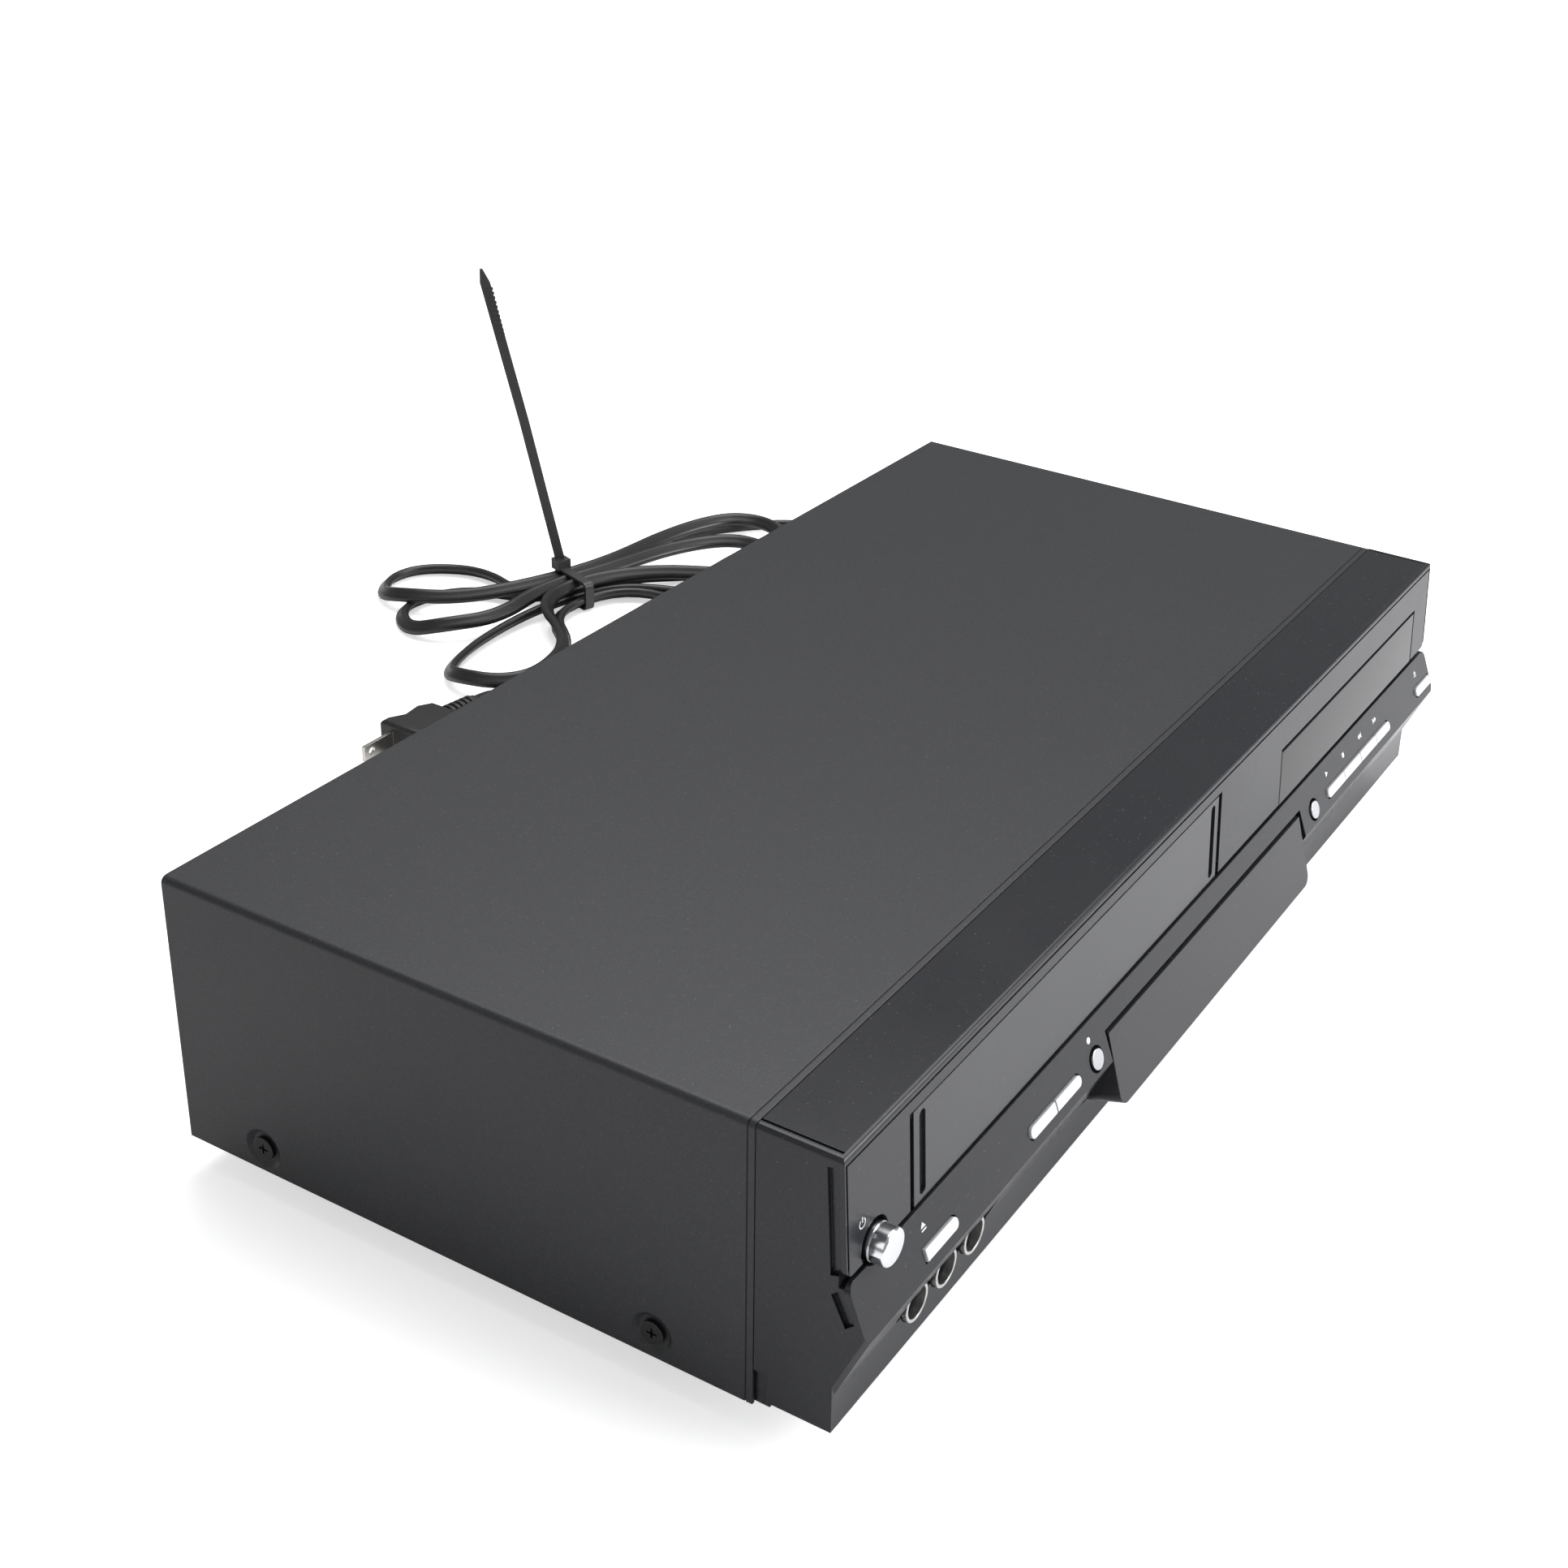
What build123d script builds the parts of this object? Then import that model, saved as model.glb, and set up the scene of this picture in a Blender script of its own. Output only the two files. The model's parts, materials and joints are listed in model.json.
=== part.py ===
from build123d import *
import math
import os

os.makedirs("parts", exist_ok=True)

# A combined disc and tape player. +X is the viewer's right, the front faces -Y, the feet stand on z = 0.

# Cabinet
width = 430.0
height = 99.0
cabinet_depth = 224.0          # fascia to rear panel
foot_height = 9.0
foot_radius = 11.0
foot_inset_x = 38.0
foot_inset_front = 34.0
foot_inset_rear = 30.0
sheet = 1.0                    # cover, pan and rear panel
cover_seam = 25.4              # fascia to the cover's front edge
cover_bend = 2.2               # outer radius of the cover's long bends
joggle_y = 27.4                # pressed line behind the cover's front edge
joggle_width = 0.4
joggle_depth = 0.35
part_gap = 0.3                 # between pieces that only sit side by side
dimple_radius = 6.6
dimple_depth = 1.2
side_screw_z = 17.5
side_screw_y = (57.3, 196.0)   # behind the fascia
screw_radius = 1.5
screw_head_radius = 3.7
screw_head_height = 1.4

# Front panel
panel_depth = 25.1
panel_wall = 2.5
fascia_rake = 1.8              # how far the fascia leans out at its foot
fascia_foot_z = 63.3
band_top_z = 61.7
ridge_z = 45.5
ridge_reach = 8.1              # how far the ridge stands out before the fascia's top
band_reach = 2.1
lip_thick = 1.2                # the band's upper lip, before the trench under the fascia
trench_rear = 0.6
trench_foot_z = 60.2
chamfer_foot_z = 24.3
strip_set_back = 1.6
panel_foot_z = 12.5
edge_round = 1.5
cheek_wall = 3.0
side_groove = 1.2              # depth of the grooves in the cheeks' outer faces
side_chamfer = 1.4
line_width = 0.7               # fine line round the fascia's plate
line_depth = 0.8
line_inset = 0.6
foot_notch = 2.2               # depth of the notch at each cheek's lower rear corner
foot_notch_z = 21.6
corner_round = 3.0             # the band's upper ends and the fascia's lower ends

# Cassette door
opening_left = -184.8
opening_right = 10.2
opening_top_z = 92.8
door_gap_left = 2.6
door_gap_right = 1.3
door_gap_top = 1.2
door_foot_z = 62.3
door_thick = 2.4
door_axis_z = 90.2
door_axis_depth = 1.7
door_pin_radius = 1.0
pin_clearance = 0.06
door_pin_reach = 3.4            # into the boss
door_groove_inset = 4.3        # door's edge to the middle of its upright groove
door_groove_width = 3.0
door_groove_depth = 1.3

# Disc tray
tray_x = 130.7
tray_front_width = 136.2
tray_front_top_z = 83.5
tray_front_foot_z = 62.7
tray_front_thick = 3.4
tray_gap = 0.5
tray_gap_top = 1.1
tray_half = 67.4
tray_z = 65.8
tray_thick = 3.0
tray_rear = 165.0
disc_y = 70.0                  # spindle behind the fascia
disc_recess_radius = 60.6
small_disc_radius = 40.6
tray_slot_half = 23.0
tray_travel = 132.0
rack_x = 54.0                  # pitch line, from the tray's middle
gear_module = 1.0
gear_teeth = 20
gear_y = 26.0
gear_height = 3.2

# Control band
key_line_z = 50.5
key_height = 3.6
key_proud = 0.7
key_travel = 1.0
key_clearance = 0.55
button_clearance = 0.9
button_flange_radius = 4.9
key_flange = 0.9
key_flange_height = 7.2
switch_size = 6.0
switch_height = 3.7
board_thick = 1.6
board_back = 13.2              # band face to the front of the key board
round_button_radius = 3.2
key_names = ["eject_key", "input_key", "speed_key", "record_button", "selector_button",
             "play_key", "stop_key", "rewind_key", "forward_key", "tray_key"]
key_list = [                   # place along the band, length, outline
    (-176.0, 16.2, "round_right"), (-119.5, 15.0, "round_left"), (-103.9, 15.0, "round_right"),
    (-85.4, 6.4, "round"), (88.3, 6.4, "round"), (109.4, 16.4, "round_left"), (126.2, 16.4, "bar"),
    (143.1, 16.4, "bar"), (158.9, 14.4, "round_right"), (205.2, 15.6, "round_left"),
]
knob_x = -202.0
knob_z = 66.6
knob_radius = 5.3
knob_face = 7.4                # before the fascia's top plane
knob_travel = 2.0
knob_clearance = 1.1

# Display bay
bay_half = 75.7
bay_gap = 1.7
bay_top_z = 53.3
bay_nose_z = 29.0
bay_nose_reach = 11.9
bay_foot_z = 24.8
bay_wall = 1.8
bay_corner = 4.0

# Front sockets
jack_x = (-175.5, -160.0, -144.5)
jack_z = 25.5
jack_ring_radius = 5.7
jack_hole_radius = 4.7
jack_ring_length = 4.0
jack_pin_hole = 1.6
pocket_left = -183.4
pocket_right = -135.2
pocket_top_z = 33.0
pocket_depth = 3.0

# Tape deck
deck_x = -87.3
deck_z = 29.0
deck_sheet = 1.4
deck_front = 32.0
deck_rear = 210.0
reel_spacing = 92.0
reel_y = 90.0
reel_radius = 14.0
drum_radius = 31.0
drum_y = 176.0
drum_tilt = 5.5
drum_lower_height = 14.0
drum_upper_height = 16.0
capstan_radius = 1.5
capstan_offset = (62.0, 148.0)      # from the deck's middle, and behind the fascia
pinch_offset = (82.0, 160.0)
pinch_arm_reach = (-2.0, -17.0)     # pivot to roller
pinch_roller_radius = 5.6
pinch_collar = 12.0
loading_module = 1.0
loading_teeth = 28
loading_y = 112.0
loading_z = 60.0
loading_width = 3.0
rack_body = 2.6
holder_half = 95.2
holder_front = 34.0
holder_depth = 46.0
holder_floor_z = 62.6
holder_top_z = 89.2
holder_sheet = 1.0
holder_drop = 27.0
carriage_travel = 56.0
holder_side_gap = 1.1
slider_sheet = 0.9
slide_clearance = 0.5
bracket_sheet = 1.2
deck_rim = 0.1
guide_pin_radius = 1.5

# Disc drive
drive_half = 70.8
drive_wall = 2.4
drive_front = 12.0
drive_rear = 186.0
drive_floor_z = 50.0
drive_top_z = 80.0
bridge_half_depth = 22.0
traverse_half = 39.0
traverse_front = 50.0
traverse_rear = 160.0
traverse_z = 55.0
traverse_sheet = 2.0
turntable_z = 67.2
turntable_radius = 14.5
rod_offset = 21.5
rod_radius = 1.5
rod_clearance = 0.05
rod_z = 60.6
sled_rest = 34.0               # sled middle behind the spindle
sled_half_width = 18.5
sled_half_depth = 12.0
sled_travel = 36.0
puck_radius = 16.5
puck_neck = 12.0

# Boards
main_board_z = 16.0
board_edge = 9.0                # main board to the side of the cabinet

# Rear
socket_reach = 8.0
jack_block = (-52.0, 30.0, 20.0, 58.0)      # left, right, foot and top of its opening
aerial_radius = 4.75
aerial_shoulder_radius = 5.0     # where the barrel passes through the rear panel
aerial_shoulder = 1.0            # how far it stands out of the panel
aerial_x = (-100.0, -82.0)
aerial_z = 44.0
bushing_radius = 6.4
bushing_tail = 7.6             # the tail's end behind the rear panel
cord_exit_x = 178.0
cord_exit_z = 24.0

# Mains cord: flat twin, 7.0 by 3.8 mm, drawn round at about its own section
cord_radius = 2.6
floor_clear = 0.4              # under the cord
hank_x = 160.0                 # where the tie holds the hank
hank_back = 158.0              # behind the rear panel
hank_heading = -18.0           # degrees from +X, along the tied strands
strand_pitch = 5.9             # side by side in the tie
layer_pitch = 5.9              # one on another
tie_lift = 1.4                 # strands stand this much higher where the band passes under them
lobe_radius = 22.0
# heading, and distance from the tie to the middle of the turn
left_lobes = ((117.0, 66.0), (145.0, 57.0), (196.0, 80.0))
right_lobes = ((-17.0, 94.0), (-31.0, 76.0), (-62.0, 105.0))
hank_in_along = 75.0
hank_in_across = 22.0
hank_in_heading = 151.0
hank_out = (94.0, 121.0)       # x, and y behind the rear panel
hank_out_heading = 184.0
early_climb = 4                # the strand whose turn climbs before its tip
tie_width = 4.4
tie_thick = 1.2
tie_head = 6.4
tail_reach = 141.0             # free tail above the head
tail_lean = 29.0
tail_plane_heading = 129.3     # across the tail's broad face
plug_tail_x = 46.0
plug_back = 119.3              # plug's axis behind the rear panel
plug_z = 7.6

nose_reach = bay_nose_reach
front = (nose_reach - socket_reach - cabinet_depth) / 2
rear = front + cabinet_depth
pan_z = foot_height
top_z = height
half = width / 2
slider_half = holder_half + holder_side_gap + slider_sheet
bracket_half = slider_half + slide_clearance + bracket_sheet
deck_half = bracket_half + deck_rim
board_right = half - board_edge
power_board_right = board_right - 16.0
pitch_radius = gear_module * gear_teeth / 2
fascia_lean_mid = fascia_rake * 0.72
capstan_at = (deck_x + capstan_offset[0], front + capstan_offset[1])
pinch_at = (deck_x + pinch_offset[0], front + pinch_offset[1])
plug_y = rear + plug_back
rack_root_z = loading_z - loading_module * (loading_teeth / 2 + 1.3)


def block(x0, x1, y0, y1, z0, z1):
    """A box between two corners."""
    place = Pos((x0 + x1) / 2, (y0 + y1) / 2, (z0 + z1) / 2)
    return place * Box(abs(x1 - x0), abs(y1 - y0), abs(z1 - z0))


def rod(axis, radius, start, end, a, b):
    """A round bar along an axis, from start to end; a and b are its other two places."""
    turn = {"x": Rot(0, 90, 0), "y": Rot(-90, 0, 0), "z": Rot(0, 0, 0)}[axis]
    at = {"x": (start, a, b), "y": (a, start, b), "z": (a, b, start)}[axis]
    bar = Cylinder(radius, end - start, align=(Align.CENTER, Align.CENTER, Align.MIN))
    return Pos(*at) * turn * bar


def profile_bar(points, x0, x1):
    """A side profile of (y behind the fascia, z) points, drawn out from x0 to x1."""
    face = Plane.YZ.offset(x0) * Polygon(*[(front + y, z) for y, z in points], align=None)
    return extrude(face, amount=x1 - x0, dir=(1, 0, 0))


def plate_z(outline, z0, z1):
    """A flat outline on the floor plane, thickened from z0 to z1."""
    return extrude(Pos(0, 0, z0) * outline, amount=z1 - z0, dir=(0, 0, 1))


def save(shape, node):
    """Write one named piece."""
    export_step(shape, f"parts/{node}.step")


def group(solids):
    """Separate solids that share one name."""
    return Compound(children=list(solids))


# Planes of the front
rake_angle = math.degrees(math.atan2(fascia_rake, top_z - fascia_foot_z))
band_run = ridge_reach - band_reach
band_drop = band_top_z - ridge_z
band_length = math.hypot(band_run, band_drop)
band_normal = (0, -band_drop / band_length, band_run / band_length)
band_angle = math.degrees(math.atan2(band_run, band_drop))


def band_y(z):
    """Where the band's face is at a height."""
    return front - band_reach - band_run * (band_top_z - z) / band_drop


def band_plane(x, z):
    """A frame on the band's face: x along the unit, y up the slope, z out of the face."""
    return Plane(origin=(x, band_y(z), z), x_dir=(1, 0, 0), z_dir=band_normal)


# ---- cabinet ----

def make_pan():
    inner = half - sheet - dimple_depth - part_gap
    pan_front = front + cover_seam + 2 * sheet
    pan_rear = rear - sheet - part_gap
    flange = 22.0
    solid = block(-inner, inner, pan_front, pan_rear, pan_z, pan_z + sheet)
    for side in (-1, 1):
        solid += block(side * inner, side * (inner - sheet), pan_front, pan_rear, pan_z, pan_z + flange)
    solid += block(-inner, inner, pan_rear - sheet, pan_rear, pan_z, pan_z + 5.0)
    solid += block(-inner, inner, pan_front, pan_front + sheet, pan_z, pan_z + 6.0)
    for x in (-150.0, -30.0, 36.0, 180.0):
        rib = block(x - 4, x + 4, pan_front + 20, pan_rear - 24, pan_z, pan_z + 2.4)
        rib -= block(x - 3, x + 3, pan_front + 21, pan_rear - 25, pan_z, pan_z + 1.4)
        solid -= block(x - 3, x + 3, pan_front + 21, pan_rear - 25, pan_z, pan_z + sheet)
        solid += rib
    for x in range(8):
        solid -= block(60 + 12 * x, 64 + 12 * x, front + 120, front + 150, pan_z, pan_z + sheet)
    for side in (-1, 1):
        for y in side_screw_y:
            solid -= rod("x", screw_radius + 0.1, -inner - 1, inner + 1, front + y, side_screw_z)
    return solid


def make_feet():
    feet = []
    for side in (-1, 1):
        for y in (front + foot_inset_front, rear - foot_inset_rear):
            cone = Cone(foot_radius - 1.5, foot_radius, foot_height - 1.2, align=(Align.CENTER, Align.CENTER, Align.MIN))
            foot = Pos(0, 0, 1.2) * cone
            foot += Cylinder(foot_radius - 3.5, 1.2, align=(Align.CENTER, Align.CENTER, Align.MIN))
            foot -= Cylinder(foot_radius - 6.5, 0.8, align=(Align.CENTER, Align.CENTER, Align.MIN))
            feet.append(Pos(side * (half - foot_inset_x), y, 0) * foot)
    return group(feet)


def make_rear_panel():
    inner = half - sheet - part_gap
    panel = block(-inner, inner, rear - sheet, rear, pan_z + sheet, top_z - sheet - part_gap)
    panel = fillet([e for e in panel.edges().filter_by(Axis.Y) if e.center().Z > top_z - 5], cover_bend)
    panel -= block(jack_block[0], jack_block[1], rear - sheet, rear, jack_block[2], jack_block[3])
    for x in aerial_x:
        panel -= rod("y", aerial_radius + 0.6, rear - sheet, rear, x, aerial_z)
    panel -= rod("y", bushing_radius, rear - sheet, rear, cord_exit_x, cord_exit_z)
    for row in range(2):
        for slot in range(9):
            x = 76.0 + 9.0 * slot
            z = 58.0 + 16.0 * row
            panel -= block(x, x + 4.0, rear - sheet, rear, z, z + 11.0)
    return panel


def make_cover():
    foot = pan_z + 0.6
    cover_front = front + cover_seam
    outer = block(-half, half, cover_front, rear + 2.0, foot, top_z)
    outer = fillet([e for e in outer.edges().filter_by(Axis.Y) if e.center().Z > top_z - 1], cover_bend)
    inner = block(-half + sheet, half - sheet, cover_front, rear + 2.0, foot - 1, top_z - sheet)
    inner = fillet([e for e in inner.edges().filter_by(Axis.Y) if e.center().Z > top_z - 2], cover_bend - sheet)
    cover = outer - inner
    line_start = front + joggle_y
    core = block(-half + joggle_depth, half - joggle_depth, line_start, line_start + joggle_width, foot - 1,
                 top_z - joggle_depth)
    core = fillet([e for e in core.edges().filter_by(Axis.Y) if e.center().Z > top_z - 2], cover_bend - joggle_depth)
    cover -= block(-half - 1, half + 1, line_start, line_start + joggle_width, foot - 1, top_z + 1) - core
    for side in (-1, 1):
        for y in side_screw_y:
            dish = Cone(dimple_radius, dimple_radius - 1.6, dimple_depth, align=(Align.CENTER, Align.CENTER, Align.MIN))
            skin = Cone(dimple_radius + 0.6, dimple_radius - 1.0, dimple_depth,
                        align=(Align.CENTER, Align.CENTER, Align.MIN))
            place = Pos(side * half, front + y, side_screw_z) * Rot(0, -90 * side, 0)
            cover += place * Pos(0, 0, sheet) * skin
            cover -= place * dish
            cover -= place * Cylinder(screw_radius + 0.3, 3 * sheet + 2 * dimple_depth)
    return cover


def make_cover_screws():
    screws = []
    for side in (-1, 1):
        for y in side_screw_y:
            head = Cylinder(screw_head_radius, screw_head_height, align=(Align.CENTER, Align.CENTER, Align.MIN))
            head -= Pos(0, 0, screw_head_height - 0.8) * (Box(3.6, 0.8, 1.6) + Box(0.8, 3.6, 1.6))
            shank = Cylinder(screw_radius, 7.0, align=(Align.CENTER, Align.CENTER, Align.MAX))
            seat = half - dimple_depth
            screws.append(Pos(side * seat, front + y, side_screw_z) * Rot(0, 90 * side, 0) * (head + shank))
    return group(screws)


# ---- front panel ----

def panel_profile(inset):
    """The moulding's side profile, moved in by a wall."""
    i = inset
    slope = i / math.cos(math.radians(band_angle))
    return [
        (panel_depth, top_z - i), (i, top_z - i),
        (i * 1.36 - fascia_rake, fascia_foot_z), (i * 1.88 - band_reach, band_top_z),
        (slope - ridge_reach, ridge_z), (i * 1.1 + strip_set_back, chamfer_foot_z + 0.2 * i),
        (i + strip_set_back, panel_foot_z + i), (panel_depth, panel_foot_z + i),
    ]


def make_front_panel():
    panel = profile_bar(panel_profile(0), -half, half)
    top_edges = [e for e in panel.edges() if e.center().Z > top_z - 0.1 and e.center().Y < front + panel_depth - 1]
    panel = fillet(top_edges, edge_round)
    lower = [e for e in panel.edges() if abs(e.center().X) > half - 0.1
             and chamfer_foot_z < e.center().Z < ridge_z and e.center().Y < front]
    panel = chamfer(lower, side_chamfer)
    hollow = profile_bar(panel_profile(panel_wall), -half + cheek_wall, half - cheek_wall)
    hollow += block(-half + cheek_wall, half - cheek_wall, front + 10, front + panel_depth + 1,
                    panel_foot_z + panel_wall, top_z - panel_wall)
    panel -= hollow
    lip_z = top_z - sheet - part_gap
    panel += block(-half + 6, half - 6, front + panel_depth - 2, front + cover_seam + 4, lip_z - 1.4, lip_z)
    panel -= make_trench()
    panel -= make_plate_lines()
    panel -= make_cheek_grooves()
    panel -= make_panel_openings()
    # back wall of the sockets' pocket, with a hole for each socket
    wall_y = front + strip_set_back + pocket_depth
    panel += block(pocket_left - 2, pocket_right + 2, wall_y, wall_y + panel_wall, panel_foot_z + 1, pocket_top_z + 4)
    for x in jack_x:
        panel -= rod("y", jack_ring_radius + 0.2, front - 5, wall_y + panel_wall + 1, x, jack_z)
    # bosses that carry the door's pins
    for x, side in ((opening_left, -1), (opening_right, 1)):
        panel += block(x, x + side * (door_pin_reach + 0.8), front + 0.6, front + door_axis_depth + 4.0,
                       door_axis_z - 3.0, door_axis_z + 3.0)
        panel -= rod("x", door_pin_radius + pin_clearance, x - door_pin_reach - 0.3, x + door_pin_reach + 0.3,
                     front + door_axis_depth, door_axis_z)
    # shelf for the power switch
    panel += block(-half + cheek_wall - 0.5, knob_x + 9, front + 4, front + 22, knob_z - 9.5, knob_z - 7.5)
    return panel


def make_trench():
    """The dark trench under the fascia, open at both ends, with rounded ends on the band and the fascia."""
    trench = profile_bar([(-20, band_top_z), (lip_thick - band_reach, band_top_z),
                          (lip_thick - band_reach, trench_foot_z), (trench_rear, trench_foot_z),
                          (trench_rear, fascia_foot_z), (-20, fascia_foot_z)], -half - 1, half + 1)
    corner = Rectangle(corner_round, corner_round, align=(Align.MIN, Align.MIN)) - Pos(
        corner_round, corner_round) * Circle(corner_round)
    for side in (-1, 1):
        for z, turn in ((band_top_z, 180 if side > 0 else -90), (fascia_foot_z, 90 if side > 0 else 0)):
            place = Plane(origin=(side * half, front - 8, z), x_dir=(1, 0, 0), z_dir=(0, -1, 0))
            depth = 8 + (lip_thick - band_reach if z == band_top_z else trench_rear)
            trench += extrude(place * Rot(0, 0, turn) * corner, amount=depth, dir=(0, 1, 0))
    return trench


def make_plate_lines():
    """Fine line that sets off the fascia's plate at its top and both ends, and one along each cheek's top."""
    top_line = top_z - edge_round - line_inset
    lines = block(-half + line_inset, half - line_inset, front - 5, front + line_depth, top_line - line_width, top_line)
    for side in (-1, 1):
        outer = side * (half - line_inset)
        lean = fascia_rake * (top_line - fascia_foot_z) / (top_z - fascia_foot_z)
        lines += profile_bar([(-20, top_line), (line_depth, top_line), (line_depth - lean, fascia_foot_z),
                              (-20, fascia_foot_z)], min(outer, outer - side * line_width),
                             max(outer, outer - side * line_width))
        rim = side * (half - edge_round - line_inset)
        lines += block(rim, rim - side * line_width, front + edge_round, front + panel_depth, top_z - line_depth, top_z + 1)
    return lines


def make_cheek_grooves():
    """Recesses in each cheek's outer face: behind the fascia, behind the band, and the notch at the rear foot."""
    behind_fascia = [(1.5, 96.2), (4.6, 95.2), (2.9, 63.0), (-0.2, 64.0)]
    behind_band = [(-0.5, 60.0), (2.6, 57.2), (-1.7, 48.2), (-4.3, 50.5)]
    cuts = None
    for side in (-1, 1):
        inner, outer = sorted((side * (half - side_groove), side * (half + 1)))
        for outline in (behind_fascia, behind_band):
            cut = profile_bar(outline, inner, outer)
            cuts = cut if cuts is None else cuts + cut
        cuts += block(side * (half + 1), side * (half - foot_notch), front + 21, front + panel_depth + 1,
                      panel_foot_z - 1, foot_notch_z)
    return cuts


def make_panel_openings():
    """Everything that passes through the moulding: door, tray, knob, keys, display bay and sockets' pocket."""
    through = front + panel_wall + 1
    cuts = block(opening_left, opening_right, front - 20, through, band_top_z, opening_top_z)
    cuts += block(tray_x - tray_front_width / 2 - tray_gap, tray_x + tray_front_width / 2 + tray_gap,
                  front - 20, through, tray_front_foot_z - tray_gap, tray_front_top_z + tray_gap_top)
    cuts += rod("y", knob_radius + knob_clearance, front - 20, through, knob_x, knob_z)
    for x, length, style in key_list:
        grow = button_clearance if style == "round" else key_clearance
        cuts += band_plane(x, key_line_z).location * extrude(
            key_outline(length, style, grow), amount=2 * panel_wall + 2, both=True)
    cuts += block(-bay_half - bay_gap, bay_half + bay_gap, front - 20, front + 8, bay_foot_z - 0.4,
                  bay_top_z + bay_gap)
    cuts += block(pocket_left, pocket_right, front - 20, front + strip_set_back + pocket_depth,
                  chamfer_foot_z - 0.5, pocket_top_z)
    return cuts


def key_outline(length, style, grow):
    """Flat outline of a key: bar, left or right end of a split bar, or round button."""
    if style == "round":
        return Circle(round_button_radius + grow)
    if style == "bar":
        return Rectangle(length + 2 * grow, key_height + 2 * grow)
    side = 1 if style == "round_right" else -1
    flat = Pos(-side * key_height / 4, 0) * Rectangle(length - key_height / 2 + 2 * grow, key_height + 2 * grow)
    return flat + Pos(side * (length / 2 - key_height / 2), 0) * Circle(key_height / 2 + grow)


def make_key(x, length, style):
    """A key: cap through the band, flange that stops it, stem down to its switch."""
    cap = extrude(key_outline(length, style, 0), amount=key_proud + panel_wall + part_gap + 0.6)
    cap = Pos(0, 0, -panel_wall - part_gap - 0.6) * cap
    top = cap.faces().sort_by(Axis.Z)[-1]
    cap = fillet(top.edges(), 0.2)
    deep = -panel_wall - part_gap - 0.6
    across = 2 * button_flange_radius if style == "round" else length - 4.0
    outline = Rectangle(across, key_flange_height)
    flange = Pos(0, 0, deep - key_flange) * extrude(outline, amount=key_flange)
    stem_foot = switch_height + 1.3 - board_back
    stem = Pos(0, 0, stem_foot) * Box(4.0, 2.4, deep - stem_foot, align=(Align.CENTER, Align.CENTER, Align.MIN))
    return band_plane(x, key_line_z).location * (cap + flange + stem)


def make_knob():
    tail = front + 12.0
    knob = rod("y", knob_radius, front - knob_face, front + 1.0, knob_x, knob_z)
    face = knob.faces().sort_by(Axis.Y)[0]
    knob = fillet(face.edges(), 0.9)
    ring_y = front - knob_face * 0.42
    knob -= rod("y", knob_radius + 1, ring_y, ring_y + 0.5, knob_x, knob_z) - rod(
        "y", knob_radius - 0.4, ring_y - 1, ring_y + 2, knob_x, knob_z)
    knob += rod("y", 1.8, front + 1.0, tail, knob_x, knob_z)
    return knob


def make_door():
    """Flap with two upright grooves, stiffening ribs and a pin at each end."""
    left, right = opening_left + door_gap_left, opening_right - door_gap_right
    door_top_z = opening_top_z - door_gap_top
    door = block(left, right, front, front + door_thick, door_foot_z, door_top_z)
    for x in (left + door_groove_inset, right - door_groove_inset):
        door -= Pos(x, front, (door_foot_z + door_top_z) / 2) * Rot(90, 0, 0) * extrude(
            SlotOverall(26.0, door_groove_width, rotation=90), amount=door_groove_depth, both=True)
    for x in (left + 48, right - 48):
        door += block(x - 0.7, x + 0.7, front + door_thick, front + door_thick + 1.4, door_foot_z + 3, door_top_z - 5)
    pivot = Pos(0, front + door_axis_depth, door_axis_z)
    door = pivot * Rot(-rake_angle, 0, 0) * pivot.inverse() * door
    for x, edge, side in ((left, opening_left, -1), (right, opening_right, 1)):
        start, end = sorted((x - side, edge + side * door_pin_reach))
        door += rod("x", door_pin_radius, start, end, front + door_axis_depth, door_axis_z)
    return door


def make_tray_front():
    left = tray_x - tray_front_width / 2
    face = block(left, left + tray_front_width, front, front + tray_front_thick, tray_front_foot_z, tray_front_top_z)
    edges = [e for e in face.edges() if e.center().Y < front + 0.1]
    face = fillet(edges, 0.6)
    mid = (tray_front_foot_z + tray_front_top_z) / 2
    lean = (top_z - mid) * fascia_rake / (top_z - fascia_foot_z)
    return Pos(0, front - lean, mid) * Rot(-rake_angle, 0, 0) * Pos(0, -front, -mid) * face


# ---- display bay ----

def make_bay():
    """Leaning window housing: a wedge that stands out of the band and chamfer."""
    crown = band_y(bay_top_z) - front
    bay_back = strip_set_back + 1.0

    def wedge(i, side):
        points = [(crown + 4, bay_top_z - i), (crown + i, bay_top_z - i), (-bay_nose_reach + i, bay_nose_z + i * 0.4),
                  (strip_set_back + i, bay_foot_z + i), (bay_back + i, bay_foot_z + i), (bay_back + i, bay_top_z - i)]
        return profile_bar(points, -bay_half + side, bay_half - side)

    shell = wedge(0, 0)
    lower = [e for e in shell.edges() if e.center().Z < bay_nose_z and abs(abs(e.center().X) - bay_half) < 0.1
             and e.center().Y < front + strip_set_back and e.length > 8]
    shell = fillet(lower, bay_corner)
    shell -= wedge(bay_wall, bay_wall)
    return shell


def make_display_tube():
    tube = block(-60, 60, front - 4.0, front + 1.4, 31.5, 47.0)
    tube = fillet(tube.edges().filter_by(Axis.Y), 1.0)
    for pin in range(16):
        tube += block(-45.4 + 6 * pin, -44.6 + 6 * pin, front - 1.2, front - 0.6, 28.6, 31.5)
    return tube


# ---- sockets ----

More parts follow.
